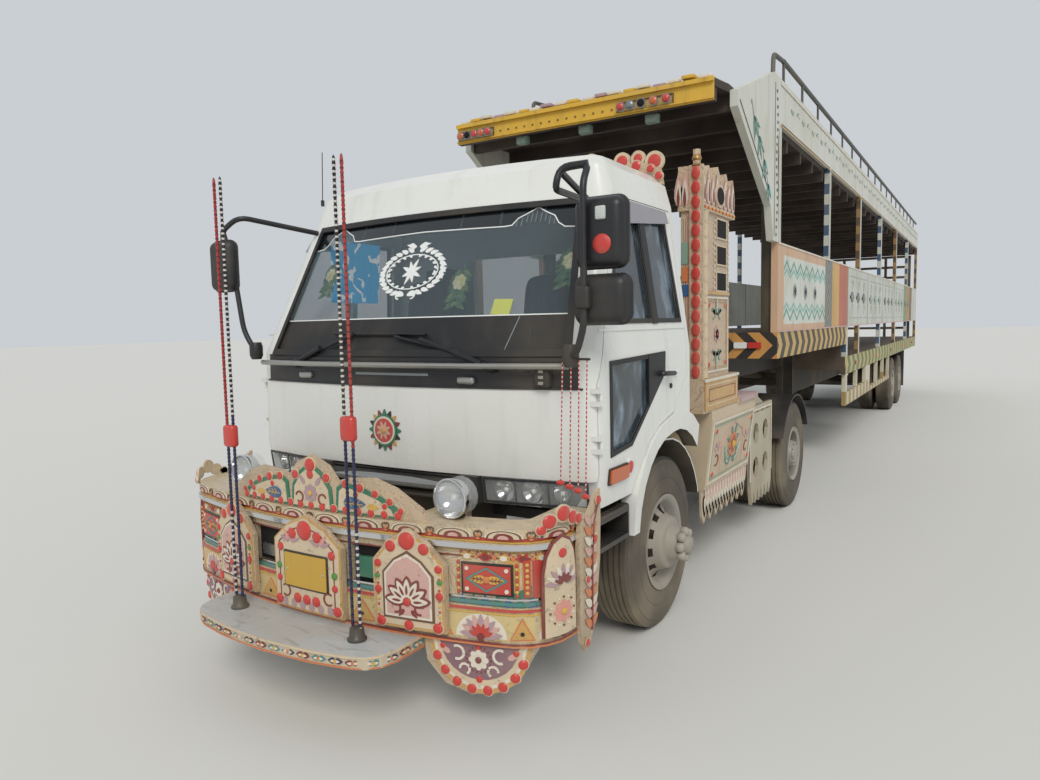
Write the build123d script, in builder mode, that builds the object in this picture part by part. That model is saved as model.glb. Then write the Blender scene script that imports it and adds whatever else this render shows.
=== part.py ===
from math import asin, cos, degrees, pi, radians, sin, sqrt
import os

from build123d import *

# Decorated articulated car carrier: a two-axle cab-over tractor and its two-deck trailer.
# Millimetres. The vehicle faces -Y, +X is its left-hand side and +Z is up.
# A station is the distance behind the middle of the cab's front face.

os.makedirs("parts", exist_ok=True)

# Overall
front_end = -950
rear_end = 19040
mid_station = (front_end + rear_end) / 2
half_width = 1250
seat_gap = 0.3

# Wheels
tyre_radius = 535
bead_radius = 262
tyre_width = 280
front_axle_at = 1180
rear_axle_at = 4710
front_tyre_outer = 1190
rear_tyre_outer = 1230
twin_gap = 60
trailer_axles_at = (13950, 15270)
spindle_radius = 45
axle_tube_radius = 62
running_clearance = 1.0

# Tractor frame
rail_inner = 355
rail_outer = 430
rail_bottom = 760
rail_top = 1010
rail_wall = 12
frame_front = 180
frame_rear = 5400
spring_half_span = 680
spring_width = 70
kingpin_x = 930
kingpin_radius = 22
steering_arm = 150

# Cab
cab_wall = 40
cab_corner_radius = 90
cab_rear = 1500
cab_bottom = 960
cab_floor_bottom = 1190
cab_floor_top = 1230
roof_seam = 2610
door_gap = 6
door_front = 178
cab_split = 1135
cowl_bottom = 1580
cowl_top = 1750
lamp_top = 1110
lamp_inner = 605
glass_thickness = 8
glass_inset = 16

# Front bumper
bumper_bottom = 460
bumper_top = 1000
bumper_front = -600
bumper_sag = 205
bumper_return = 60
bumper_corner_radius = 240
bumper_wall = 40
shelf_depth = 170
shelf_thickness = 40
step_thickness = 60
step_half_width = 650

# Coupling
coupling_at = 4650
coupling_height = 1230
coupling_pin_radius = 25

# Trailer
deck_front = 3840
step_down = 7750
deck_top = 1790
side_rail_bottom = 1550
rear_deck_top = 1380
rear_rail_bottom = 1140
wall_inner = 1190
belt_top = 2600
belt_bottom = 1790
window_top = 3660
upper_joist_bottom = 3490
upper_deck_bottom = 3600
upper_deck_top = 3660
beam_top = 4040
rail_height = 4250
upper_front = 2300
body_rear = 18940
post_pitch = 2500
first_post = 3900
post_width = 90
bay_count = 6
ramp_hinge_at = 18990
ramp_hinge_height = 1250
ramp_pin_radius = 22
ramp_top = 3480


def at(station):
    """Give the Y of a station."""
    return station - mid_station


def side_plane(x):
    """Give a lengthwise drawing plane: local X is the station, local Y the height."""
    return Plane(origin=(x, at(0), 0), x_dir=(0, 1, 0), z_dir=(1, 0, 0))


def cross_plane(station):
    """Give a crosswise drawing plane: local X is X, local Y the height; it extrudes forwards."""
    return Plane(origin=(0, at(station), 0), x_dir=(1, 0, 0), z_dir=(0, -1, 0))


def plan_plane(height):
    """Give a level drawing plane: local X is X, local Y the station; it extrudes upwards."""
    return Plane(origin=(0, at(0), height), x_dir=(1, 0, 0), z_dir=(0, 0, 1))


def block(x, station, height, mode=Mode.ADD):
    """Add a box between two sides, two stations and two heights."""
    middle = (sum(x) / 2, at(sum(station) / 2), sum(height) / 2)
    with Locations(middle):
        Box(abs(x[1] - x[0]), abs(station[1] - station[0]), abs(height[1] - height[0]), mode=mode)


def rod(start, end, radius, mode=Mode.ADD, sides=16):
    """Add a bar between two (X, station, height) points with a number of flat sides, 0 for a round one."""
    foot = Vector(start[0], at(start[1]), start[2])
    tip = Vector(end[0], at(end[1]), end[2])
    with BuildSketch(Plane(origin=foot, z_dir=tip - foot)) as section:
        if sides:
            RegularPolygon(radius, sides)
        else:
            Circle(radius)
    extrude(section.sketch, amount=(tip - foot).length, mode=mode)


def arc_run(start, middle, end, count):
    """Give the ends of equal straight runs along the arc through three points."""
    arc = Edge.make_three_point_arc(Vector(*start), Vector(*middle), Vector(*end))
    places = [arc.position_at(step / count) for step in range(count + 1)]
    return [(place.X, place.Y) for place in places]


def polygon(plane, points):
    """Give the face inside a closed run of straight lines."""
    with BuildSketch(plane) as face:
        with BuildLine():
            Polyline(*points, close=True)
        make_face()
    return face.sketch


def plate(plane, points, thickness, mode=Mode.ADD):
    """Add a flat-sided solid from a closed run of straight lines."""
    extrude(polygon(plane, points), amount=thickness, mode=mode)


def mitred_tube(points, radius):
    """Add an eight-sided tube along straight runs, through (X, station, height) points."""
    path_points = [(x, at(station), height) for x, station, height in points]
    with BuildLine() as path:
        Polyline(*path_points)
    with BuildSketch(Plane(origin=path.line @ 0, z_dir=path.line % 0)) as section:
        RegularPolygon(radius, 8)
    sweep(section.sketch, path=path.line, transition=Transition.RIGHT)


def flat_sided(loops):
    """Give the solid inside a row of closed runs of points, joined by flat faces."""
    faces = [Face(Wire.make_polygon(loops[0])), Face(Wire.make_polygon(loops[-1]))]
    for near, far_side in zip(loops, loops[1:]):
        for index in range(len(near)):
            before = index - 1
            corners = (near[before], near[index], far_side[index], far_side[before])
            faces.append(Face(Wire.make_polygon(corners)))
    return Solid(Shell(faces))


def save(builder, name):
    """Name a finished sub-part and write it."""
    builder.part.label = name
    export_step(builder.part, f"parts/{name}.step")


SIDES = {"left": 1, "right": -1}


# Tractor chassis
with BuildPart() as tractor_frame:
    for side in SIDES.values():
        web = (side * (rail_outer - rail_wall), side * rail_outer)
        block(web, (frame_front, frame_rear), (rail_bottom, rail_top))
        flange = (side * rail_inner, side * rail_outer)
        block(flange, (frame_front, frame_rear), (rail_bottom, rail_bottom + rail_wall))
        block(flange, (frame_front, frame_rear), (rail_top - rail_wall, rail_top))
        # Spring hangers: the station of each spring's two ends
        for axle_at in (front_axle_at, rear_axle_at):
            for end in (-spring_half_span, spring_half_span):
                hanger = (axle_at + end - 40, axle_at + end + 40)
                block(flange, hanger, (rail_bottom - 60, rail_bottom))
        # Engine mounts
        for mount_at in (720, 1320):
            block((side * 290, side * rail_outer), (mount_at, mount_at + 90), (850, 930))
    for member_at in (230, 1640, 2500, 3400, 4200, 5330):
        member_x = (-rail_outer + rail_wall, rail_outer - rail_wall)
        block(member_x, (member_at - 30, member_at + 30), (rail_bottom + 40, rail_top - 40))
save(tractor_frame, "tractor_frame")

with BuildPart() as engine_block:
    block((-290, 290), (560, 1480), (700, 1140))
    chamfer(engine_block.edges().filter_by(Axis.Y), length=60)
save(engine_block, "engine_block")


def leaf_spring(x, axle_at, seat_height, end_height):
    """Add a spring pack bowed down to its seat, with an eye at each end."""
    ends = (axle_at - spring_half_span, axle_at + spring_half_span)
    low = arc_run((ends[0], end_height), (axle_at, seat_height), (ends[1], end_height), 6)
    high = arc_run(
        (ends[1], end_height + 20), (axle_at, seat_height + 60), (ends[0], end_height + 20), 6
    )
    plate(side_plane(x - spring_width / 2), low + high, spring_width)
    for end in ends:
        block(
            (x - spring_width / 2, x + spring_width / 2),
            (end - 25, end + 25),
            (end_height, rail_bottom - 60),
        )


spring_x = (rail_inner + rail_outer) / 2
spring_end_height = 655
axle_beam_top = 500

with BuildPart() as front_axle:
    beam_points = (
        (-800, 400), (800, 400), (860, 480), (885, 480), (885, 590), (830, 590), (760, axle_beam_top),
        (-760, axle_beam_top), (-830, 590), (-885, 590), (-885, 480), (-860, 480),
    )
    plate(cross_plane(front_axle_at + 45), beam_points, 90)
    for side in SIDES.values():
        boss_x = side * kingpin_x
        rod((boss_x, front_axle_at, 480), (boss_x, front_axle_at, 590), 55, sides=12)
        rod(
            (side * kingpin_x, front_axle_at, 400),
            (side * kingpin_x, front_axle_at, 670),
            kingpin_radius,
        )
        leaf_spring(side * spring_x, front_axle_at, axle_beam_top, spring_end_height)
save(front_axle, "front_axle")

with BuildPart() as rear_axle:
    rod((-1190, rear_axle_at, tyre_radius), (1190, rear_axle_at, tyre_radius), axle_tube_radius)
    housing = rear_axle_at - 150
    rod((0, housing, tyre_radius), (0, housing + 60, tyre_radius), 130, sides=12)
    rod((0, housing + 60, tyre_radius), (0, housing + 250, tyre_radius), 190, sides=12)
    for side in SIDES.values():
        block(
            (side * (spring_x - 50), side * (spring_x + 50)),
            (rear_axle_at - 60, rear_axle_at + 60),
            (tyre_radius, tyre_radius + 75),
        )
        leaf_spring(side * spring_x, rear_axle_at, tyre_radius + 75, spring_end_height)
save(rear_axle, "rear_axle")

yoke_gap = 1
for name, side in SIDES.items():
    with BuildPart() as knuckle:
        for low, high in ((400, 480 - yoke_gap), (590 + yoke_gap, 660)):
            boss_x = side * kingpin_x
            rod((boss_x, front_axle_at, low), (boss_x, front_axle_at, high), 55, sides=12)
            block(
                (side * kingpin_x, side * (kingpin_x + 100)),
                (front_axle_at - 50, front_axle_at + 50),
                (low, high),
            )
        block(
            (side * (kingpin_x + 62), side * (kingpin_x + 100)),
            (front_axle_at - 50, front_axle_at + 50),
            (400, 660),
        )
        rod(
            (side * (kingpin_x + 90), front_axle_at, tyre_radius),
            (side * 1290, front_axle_at, tyre_radius),
            spindle_radius,
        )
        block(
            (side * (kingpin_x - 25), side * (kingpin_x + 25)),
            (front_axle_at, front_axle_at + steering_arm + 30),
            (425, 445),
        )
        rod(
            (side * kingpin_x, front_axle_at, 380),
            (side * kingpin_x, front_axle_at, 680),
            kingpin_radius + running_clearance,
            mode=Mode.SUBTRACT,
        )
    save(knuckle, f"knuckle_{name}")

with BuildPart() as tie_rod:
    rod_at = front_axle_at + steering_arm
    rod((-kingpin_x, rod_at, 395), (kingpin_x, rod_at, 395), 16, sides=8)
    for side in SIDES.values():
        rod((side * kingpin_x, rod_at, 370), (side * kingpin_x, rod_at, 425 - seat_gap), 21, sides=8)
save(tie_rod, "tie_rod")

with BuildPart() as fifth_wheel:
    block((-rail_outer, rail_outer), (4380, 4920), (rail_top, rail_top + 30))
    for side in SIDES.values():
        plate(
            side_plane(side * 330 - 25),
            ((4450, rail_top + 30), (4850, rail_top + 30), (4740, 1180), (4560, 1180)),
            50,
        )
    with BuildSketch(plan_plane(1180)) as table:
        with Locations((0, coupling_at)):
            Circle(450)
        with BuildLine():
            Polyline(
                (-coupling_pin_radius - 1, coupling_at),
                (coupling_pin_radius + 1, coupling_at),
                (190, coupling_at + 460),
                (-190, coupling_at + 460),
                close=True,
            )
        make_face(mode=Mode.SUBTRACT)
        with Locations((0, coupling_at)):
            Circle(coupling_pin_radius + 1, mode=Mode.SUBTRACT)
    extrude(table.sketch, amount=coupling_height - 1180)
save(fifth_wheel, "fifth_wheel")


# Wheels: many-sided discs stand for turned pieces, so tyre and rim share their flat sides
wheel_sides = 24
hub_sides = 12


def disc(x_from, radius_from, x_to, radius_to, sides=wheel_sides, mode=Mode.ADD):
    """Add or cut a tapered disc about the X axis."""
    turns = [2 * pi * index / sides for index in range(sides)]
    loops = []
    for x, radius in ((x_from, radius_from), (x_to, radius_to)):
        loops.append([(x, radius * cos(turn), radius * sin(turn)) for turn in turns])
    add(flat_sided(loops), mode=mode)


def ring_of_bars(x, ring_radius, radius, count, mode):
    """Add or cut six-sided bars in a ring about the X axis."""
    for index in range(count):
        angle = radians(360 * index / count)
        with BuildSketch(Plane(origin=(x[0], 0, 0), x_dir=(0, 1, 0), z_dir=(1, 0, 0))) as section:
            with Locations((ring_radius * cos(angle), ring_radius * sin(angle))):
                RegularPolygon(radius, 6)
        extrude(section.sketch, amount=x[1] - x[0], mode=mode)


def on_axle(shape, axle_at, side):
    """Give a left-hand wheel piece at its axle, turned about for the right-hand side."""
    return shape.moved(Location((0, at(axle_at), tyre_radius), (0, 0, 0 if side > 0 else 180)))


def tyre_at(x_outer):
    """Give a left-hand tyre whose outer side wall is at a given X."""
    inner = x_outer - tyre_width
    shoulder = 28
    with BuildPart() as tyre:
        disc(inner, 470, inner + shoulder, tyre_radius)
        disc(inner + shoulder, tyre_radius, x_outer - shoulder, tyre_radius)
        disc(x_outer - shoulder, tyre_radius, x_outer, 470)
        disc(inner - 1, bead_radius, x_outer + 1, bead_radius, mode=Mode.SUBTRACT)
    return tyre.part


front_bore = spindle_radius + running_clearance
face = front_tyre_outer
with BuildPart() as front_rim_shape:
    # X, radius, X, radius: barrel and flange, then the hollow on each side of the dished disc
    disc(face - 245, bead_radius, face, bead_radius)
    disc(face, bead_radius, face + 10, 272)
    disc(face + 10, 235, face - 60, 228, mode=Mode.SUBTRACT)
    disc(face - 245, 235, face - 75, 222, mode=Mode.SUBTRACT)
    disc(face - 60, 195, face + 30, 150)
    ring_of_bars((face - 130, face + 10), 190, 26, 10, Mode.SUBTRACT)
    # Hub, cap and the knobs around it
    disc(kingpin_x + 112, 110, face - 60, 150, hub_sides)
    disc(face + 30, 135, face + 110, 118, hub_sides)
    disc(face + 110, 60, face + 175, 48, hub_sides)
    ring_of_bars((face + 60, face + 150), 112, 28, 8, Mode.ADD)
    disc(kingpin_x + 100, front_bore, 1292, front_bore, wheel_sides, Mode.SUBTRACT)
for name, side in SIDES.items():
    for piece, shape in (("tyre", tyre_at(face)), ("rim", front_rim_shape.part)):
        with BuildPart() as wheel_piece:
            add(on_axle(shape, front_axle_at, side))
        save(wheel_piece, f"front_{piece}_{name}")

rear_bore = axle_tube_radius + running_clearance
outer_twin = rear_tyre_outer
inner_twin = rear_tyre_outer - tyre_width - twin_gap
twin_middle = (outer_twin + inner_twin - tyre_width) / 2
with BuildPart() as twin_rims_shape:
    disc(inner_twin - 245, bead_radius, outer_twin - 35, bead_radius)
    disc(outer_twin - 35, 236, twin_middle + 12, 228, mode=Mode.SUBTRACT)
    disc(inner_twin - 245, 236, twin_middle - 12, 228, mode=Mode.SUBTRACT)
    disc(twin_middle, 150, outer_twin - 10, 130, hub_sides)
    disc(outer_twin - 10, 95, outer_twin + 10, 90, hub_sides)
    disc(inner_twin - 200, 130, twin_middle, 150, hub_sides)
    ring_of_bars((twin_middle - 40, twin_middle + 40), 192, 27, 8, Mode.SUBTRACT)
    disc(inner_twin - 210, rear_bore, 1192, rear_bore, wheel_sides, Mode.SUBTRACT)
twin_tyres = (tyre_at(outer_twin), tyre_at(inner_twin))
for name, side in SIDES.items():
    with BuildPart() as rear_tyres:
        for shape in twin_tyres:
            add(on_axle(shape, rear_axle_at, side))
    save(rear_tyres, f"rear_tyres_{name}")
    with BuildPart() as rear_rims:
        add(on_axle(twin_rims_shape.part, rear_axle_at, side))
    save(rear_rims, f"rear_rims_{name}")
for number, axle_at in enumerate(trailer_axles_at, 1):
    for name, side in SIDES.items():
        with BuildPart() as trailer_wheels:
            for shape in twin_tyres + (twin_rims_shape.part,):
                add(on_axle(shape, axle_at, side))
        save(trailer_wheels, f"trailer_wheels_{number}_{name}")


# Cab
# Height, half width and station of the nose
cab_rows = (
    (cab_bottom, 1225, 25),
    (1150, 1245, 0),
    (cowl_top, 1243, 12),
    (2640, 1120, 430),
    (2780, 1080, 470),
    (2850, 1000, 560),
)
front_sweep = 0.108
front_runs = 4
corner_runs = 4


def cab_section(height, width, nose, rear, inset):
    """Give one level section of the cab, drawn in by an inset; its runs are parallel at all heights."""
    radius = cab_corner_radius - inset
    front_x = width - inset - radius
    corner_at = nose + inset + front_sweep * front_x
    half = []
    for step in range(front_runs):
        share = step / front_runs
        half.append((front_x * share, nose + inset + front_sweep * front_x * share ** 2))
    for step in range(corner_runs + 1):
        turn = radians(90 * step / corner_runs)
        half.append((front_x + radius * sin(turn), corner_at + radius * (1 - cos(turn))))
    half.append((width - inset, rear - inset))
    other_half = [(-x, station) for x, station in reversed(half[1:])]
    return [(x, at(station), height) for x, station in half + other_half]


def cab_solid(inset):
    """Give the whole cab as one solid, drawn in by an inset; a drawn-in one is open below."""
    sections = []
    for index, (height, width, nose) in enumerate(cab_rows):
        if index == 0 and inset:
            height -= 20
        if index == len(cab_rows) - 1:
            height -= inset
        sections.append(cab_section(height, width, nose, cab_rear, inset))
    return flat_sided(sections)


with BuildPart() as shell:
    add(cab_solid(0))
    add(cab_solid(cab_wall), mode=Mode.SUBTRACT)
with BuildPart() as glass_shell:
    add(cab_solid(glass_inset))
    add(cab_solid(glass_inset + glass_thickness), mode=Mode.SUBTRACT)

far = 1400
door_outline = (
    (door_front, cab_bottom + 4), (cab_split, cab_bottom + 4), (cab_split, 1290), (1440, 1575),
    (1440, roof_seam - door_gap), (606, roof_seam - door_gap), (218, cowl_top), (door_front, 1600),
)
side_windows = (
    ((338, 1905), (935, 1905), (915, 2530), (622, 2530)),
    ((985, 1905), (1400, 1905), (1335, 2530), (965, 2530)),
)
kerb_window = ((290, 1215), (560, 1240), (1050, 1600), (1060, 1735), (290, 1715))
windscreen_outline = ((-1110, cowl_top + 5), (1110, cowl_top + 5), (1000, 2590), (-1000, 2590))
back_window = ((-420, 1950), (420, 1950), (420, 2400), (-420, 2400))


def arch(grow):
    """Give the filled outline of the front mudguard, grown by a margin."""
    front = arc_run((548, 740), (700, 1110), (1100, 1325), 6)
    rear = arc_run((1100, 1325), (1400, 1345), (1640, 1220), 4)
    with BuildSketch(side_plane(0)) as face:
        with BuildLine():
            Polyline(*front, *rear[1:], (1600, 1080), (1600, 740), close=True)
        make_face()
        if grow:
            offset(amount=grow, kind=Kind.INTERSECTION)
    return face.sketch


def arch_opening():
    """Give the outline of the space inside the front mudguard."""
    front = arc_run((625, 740), (800, 1085), (1150, 1235), 6)
    rear = arc_run((1150, 1235), (1400, 1215), (1600, 1080), 4)
    return polygon(side_plane(0), [*front, *rear[1:], (1600, 700), (625, 700)])


def keep_outside(face, both=True):
    """Cut a lengthwise outline out of the part, right across the vehicle."""
    extrude(face, amount=far, both=both, mode=Mode.SUBTRACT)


def grown_door(grow):
    """Give the outline of the door, grown by the gap around it."""
    with BuildSketch(side_plane(0)) as face:
        with BuildLine():
            Polyline(*door_outline, close=True)
        make_face()
        if grow:
            offset(amount=grow, kind=Kind.INTERSECTION)
    return face.sketch


def cut_corners_only(sketch):
    """Cut an outline from the two side walls, leaving the front wall and the back wall."""
    for side in SIDES.values():
        moved = sketch.moved(Location((side * 1000, 0, 0)))
        extrude(moved, amount=side * (far - 1000), mode=Mode.SUBTRACT)


hinge_x = 1250
hinge_levels = (1300, 1540)
hinge_half = 20
hinge_pin_radius = 6
hinge_barrel_radius = 11


def door_hinges(side, on_door):
    """Add the door's barrels and pins, or the cab's lugs around those pins."""
    for level in hinge_levels:
        if on_door:
            barrel = (level - hinge_half, level + hinge_half)
            block((side * 1215, side * hinge_x), (door_front, door_front + 27), barrel)
            spans = (barrel + (hinge_barrel_radius,), (level - 45, level + 45, hinge_pin_radius))
        else:
            low_lug = (level - 45, level - hinge_half - seat_gap)
            high_lug = (level + hinge_half + seat_gap, level + 45)
            for lug in (low_lug, high_lug):
                block((side * 1205, side * (hinge_x + 8)), (145, door_front - door_gap), lug)
                block((side * (hinge_x - 8), side * (hinge_x + 8)), (145, door_front), lug)
            spans = (low_lug + (hinge_barrel_radius,), high_lug + (hinge_barrel_radius,))
        for low, high, radius in spans:
            rod(
                (side * hinge_x, door_front, low),
                (side * hinge_x, door_front, high),
                radius,
                sides=12,
            )


door_hole = grown_door(door_gap)
with BuildPart() as cab_front:
    add(shell.part)
    block((-far, far), (-100, cab_split), (cab_bottom - 50, roof_seam), mode=Mode.INTERSECT)
    cut_corners_only(door_hole)
    keep_outside(arch(0))
    extrude(polygon(cross_plane(700), windscreen_outline), amount=800, mode=Mode.SUBTRACT)
    block((-1150, 1150), (-100, 300), (cowl_bottom, cowl_top), mode=Mode.SUBTRACT)
    block((-far, far), (-100, door_front - door_gap), (cab_bottom - 50, lamp_top), mode=Mode.SUBTRACT)
    for side in SIDES.values():
        door_hinges(side, on_door=False)
        for level in hinge_levels:
            rod(
                (side * hinge_x, door_front, level - 50),
                (side * hinge_x, door_front, level + 50),
                hinge_pin_radius + seat_gap,
                mode=Mode.SUBTRACT,
                sides=12,
            )
save(cab_front, "cab_front")

with BuildPart() as cab_back:
    add(shell.part)
    block((-far, far), (cab_split, 1600), (cab_bottom - 50, roof_seam), mode=Mode.INTERSECT)
    cut_corners_only(door_hole)
    keep_outside(arch(0))
    extrude(polygon(cross_plane(1600), back_window), amount=400, mode=Mode.SUBTRACT)
    block((-far, far), (cab_split, 1600), (cab_bottom - 50, cab_floor_bottom), mode=Mode.SUBTRACT)
save(cab_back, "cab_back")

with BuildPart() as cab_roof:
    add(shell.part)
    block((-far, far), (-100, 1600), (roof_seam, 3000), mode=Mode.INTERSECT)
save(cab_roof, "cab_roof")

with BuildPart() as cowl_panel:
    add(shell.part)
    block((-1150, 1150), (-100, 300), (cowl_bottom, cowl_top), mode=Mode.INTERSECT)
save(cowl_panel, "cowl_panel")

with BuildPart() as cab_glass:
    add(glass_shell.part)
    with BuildPart(mode=Mode.PRIVATE) as panes:
        extrude(polygon(cross_plane(700), windscreen_outline), amount=800)
        extrude(polygon(cross_plane(1600), back_window), amount=400)
    add(panes.part, mode=Mode.INTERSECT)
save(cab_glass, "cab_glass")

for name, side in SIDES.items():
    windows = side_windows + ((kerb_window,) if side > 0 else ())
    with BuildPart() as door:
        add(shell.part)
        extrude(
            grown_door(0).moved(Location((side * 1000, 0, 0))),
            amount=side * (far - 1000),
            mode=Mode.INTERSECT,
        )
        keep_outside(arch(door_gap))
        for window in windows:
            plate(side_plane(side * 1000), window, side * 400, mode=Mode.SUBTRACT)
        rod((side * 1240, 1090, 1610), (side * 1262, 1090, 1610), 16, sides=8)
        rod((side * 1262, 1070, 1610), (side * 1262, 1230, 1600), 11, sides=8)
        door_hinges(side, on_door=True)
    save(door, f"door_{name}")
    with BuildPart() as door_glass:
        add(glass_shell.part)
        with BuildPart(mode=Mode.PRIVATE) as panes:
            for window in windows:
                plate(side_plane(side * 1000), window, side * 400)
        add(panes.part, mode=Mode.INTERSECT)
    save(door_glass, f"door_glass_{name}")

with BuildPart() as cab_floor:
    block((-1150, 1150), (330, cab_rear - cab_wall), (cab_floor_bottom, cab_floor_top))
    for side in SIDES.values():
        block((side * rail_inner, side * rail_outer), (330, 1440), (rail_top, cab_floor_bottom))
    block((-500, 500), (190, 330), (cab_floor_bottom - 60, cab_floor_top))
save(cab_floor, "cab_floor")

with BuildPart() as dashboard:
    plate(
        side_plane(-1080),
        ((240, 1500), (470, 1520), (500, 1700), (440, 1800), (240, 1760)),
        2160,
    )
    block((-160, 160), (345, 460), (cab_floor_top, 1530))
    rod((-600, 440, 1650), (-600, 575, 1774), 30, sides=8)
    with BuildSketch(Plane(origin=(-600, at(565), 1765), z_dir=(0, 0.737, 0.676))) as wheel_ring:
        RegularPolygon(238, 20)
        RegularPolygon(208, 20, mode=Mode.SUBTRACT)
        with PolarLocations(0, 3):
            Rectangle(225, 30, align=(Align.MIN, Align.CENTER))
        RegularPolygon(36, 8)
    extrude(wheel_ring.sketch, amount=26)
save(dashboard, "dashboard")

with BuildPart() as cab_seats:
    # X of the middle and width: driver, passenger
    for middle, width in ((-620, 520), (520, 760)):
        span = (middle - width / 2, middle + width / 2)
        block(span, (760, 1260), (cab_floor_top, 1620))
        plate(
            side_plane(span[0]),
            ((1150, 1620), (1270, 1620), (1400, 2260), (1290, 2260)),
            width,
        )
save(cab_seats, "cab_seats")

with BuildPart() as grille:
    block((-600, 600), (40, 75), (cab_bottom + 5, lamp_top))
    for level in (985, 1012, 1075, 1095):
        block((-590, 590), (20, 40), (level - 5, level + 5))
    rod((-560, 10, 1058), (560, 10, 1058), 24, sides=8)
    for side in SIDES.values():
        block((side * 470, side * 600), (0, 40), (cab_bottom + 5, lamp_top))
save(grille, "grille")

with BuildPart() as lamps:
    add(shell.part)
    with BuildPart(mode=Mode.PRIVATE) as lamp_zone:
        for side in SIDES.values():
            block((side * lamp_inner, side * far), (-100, door_front - door_gap), (cab_bottom, lamp_top))
    add(lamp_zone.part, mode=Mode.INTERSECT)
    for side in SIDES.values():
        rod((side * 750, -420, 1100), (side * 750, -330, 1100), 92, sides=16)
        rod((side * 750, -375, bumper_top), (side * 750, -375, 1030), 14, sides=8)
save(lamps, "lamps")


# Front bumper
bumper_arc = (half_width ** 2 + bumper_sag ** 2) / (2 * bumper_sag)
bumper_corner_x = half_width - bumper_corner_radius
corner_reach = bumper_arc - bumper_corner_radius
bumper_corner_at = bumper_front + bumper_arc - sqrt(corner_reach ** 2 - bumper_corner_x ** 2)
front_turn = degrees(asin(bumper_corner_x / corner_reach))
bumper_front_runs = 5
bumper_corner_runs = 5


def bumper_slab(grow, low, high, mode=Mode.ADD):
    """Add the bumper's plan outline, grown by a margin, between two heights."""
    half = []
    for step in range(bumper_front_runs):
        turn = radians(front_turn * step / bumper_front_runs)
        reach = bumper_arc + grow
        half.append((reach * sin(turn), bumper_front + bumper_arc - reach * cos(turn)))
    for step in range(bumper_corner_runs + 1):
        turn = radians(front_turn + (90 - front_turn) * step / bumper_corner_runs)
        reach = bumper_corner_radius + grow
        half.append((bumper_corner_x + reach * sin(turn), bumper_corner_at - reach * cos(turn)))
    half.append((half_width + grow, bumper_return))
    other_half = [(-x, station) for x, station in reversed(half[1:])]
    plate(plan_plane(low), half + other_half, high - low, mode=mode)


def bumper_ring(outer, inner, low, high):
    """Give a hoop of the bumper's outline between two margins and two heights."""
    with BuildPart() as hoop:
        bumper_slab(outer, low, high)
        bumper_slab(inner, low, high, mode=Mode.SUBTRACT)
        block((-2000, 2000), (bumper_return - 2, 900), (low, high), mode=Mode.SUBTRACT)
    return hoop.part


with BuildPart() as bumper_body:
    # Outer margin, inner margin, bottom and top of each band
    for outer, inner, low, high in (
        (0, -bumper_wall, bumper_bottom, bumper_top - shelf_thickness),
        (14, -shelf_depth, bumper_top - shelf_thickness, bumper_top),
        (22, -10, 905, 935),
        (24, -10, bumper_bottom, 480),
        (16, -10, 480, 640),
    ):
        add(bumper_ring(outer, inner, low, high))
    for side in SIDES.values():
        # Dark recesses between the painted boards
        recess = (side * 255, side * 470)
        block(recess, (-700, -480), (670, 860), mode=Mode.SUBTRACT)
        block((side * rail_inner, side * rail_outer), (-545, frame_front), (790, 930))
save(bumper_body, "bumper_body")

with BuildPart() as bumper_step:
    nose_run = arc_run((-520, -888), (0, front_end), (520, -888), 6)
    side_run = arc_run((520, -888), (615, -835), (step_half_width, -740), 3)[1:]
    other_run = [(-x, station) for x, station in reversed(side_run)]
    rear_run = [(step_half_width, -490), (-step_half_width, -490)]
    tread = nose_run + side_run + rear_run + other_run
    plate(plan_plane(bumper_bottom - step_thickness), tread, step_thickness)
save(bumper_step, "bumper_step")

crest_outline = (
    (-690, bumper_top), (-660, 1060), (-520, 1150), (-400, 1190), (-240, 1180), (-170, 1160),
    (-110, 1230), (0, 1280), (110, 1230), (170, 1160), (240, 1180), (400, 1190), (520, 1150),
    (660, 1060), (690, bumper_top),
)


def arch_board(middle, width, low, shoulder, top):
    """Give the outline of an upright board with a pointed head."""
    half = width / 2
    bend = shoulder + (top - shoulder) * 0.6
    return (
        (middle - half, low), (middle - half, shoulder), (middle - half * 0.55, bend),
        (middle, top), (middle + half * 0.55, bend), (middle + half, shoulder), (middle + half, low),
    )


with BuildPart() as bumper_boards:
    with BuildPart(mode=Mode.PRIVATE) as crest_zone:
        plate(cross_plane(-300), crest_outline, 500)
    add(bumper_ring(-6, -32, bumper_top, 1300))
    add(crest_zone.part, mode=Mode.INTERSECT)
    with BuildPart(mode=Mode.PRIVATE) as frames:
        for middle, width, low, shoulder, top in (
            (-620, 380, 500, 820, 980), (0, 480, 480, 840, 985), (620, 380, 500, 820, 980),
        ):
            plate(cross_plane(-300), arch_board(middle, width, low, shoulder, top), 500)
    with BuildPart(mode=Mode.PRIVATE) as boards:
        add(bumper_ring(50, 22 + seat_gap, 470, 990))
        add(frames.part, mode=Mode.INTERSECT)
    add(boards.part)
    # Leaf-shaped boards on the bumper's two ends: station and height
    end_board = (
        (-150, 990), (-60, 1010), (20, 1090), (55, 1110), (58, 960), (48, 760), (20, 600),
        (-10, 470), (-60, 380), (-110, 350), (-150, 400), (-172, 520), (-160, 700), (-170, 860),
    )
    for side in SIDES.values():
        start_x = side * (half_width + 24 + seat_gap)
        plate(side_plane(start_x), end_board, side * 22)
save(bumper_boards, "bumper_boards")

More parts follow.
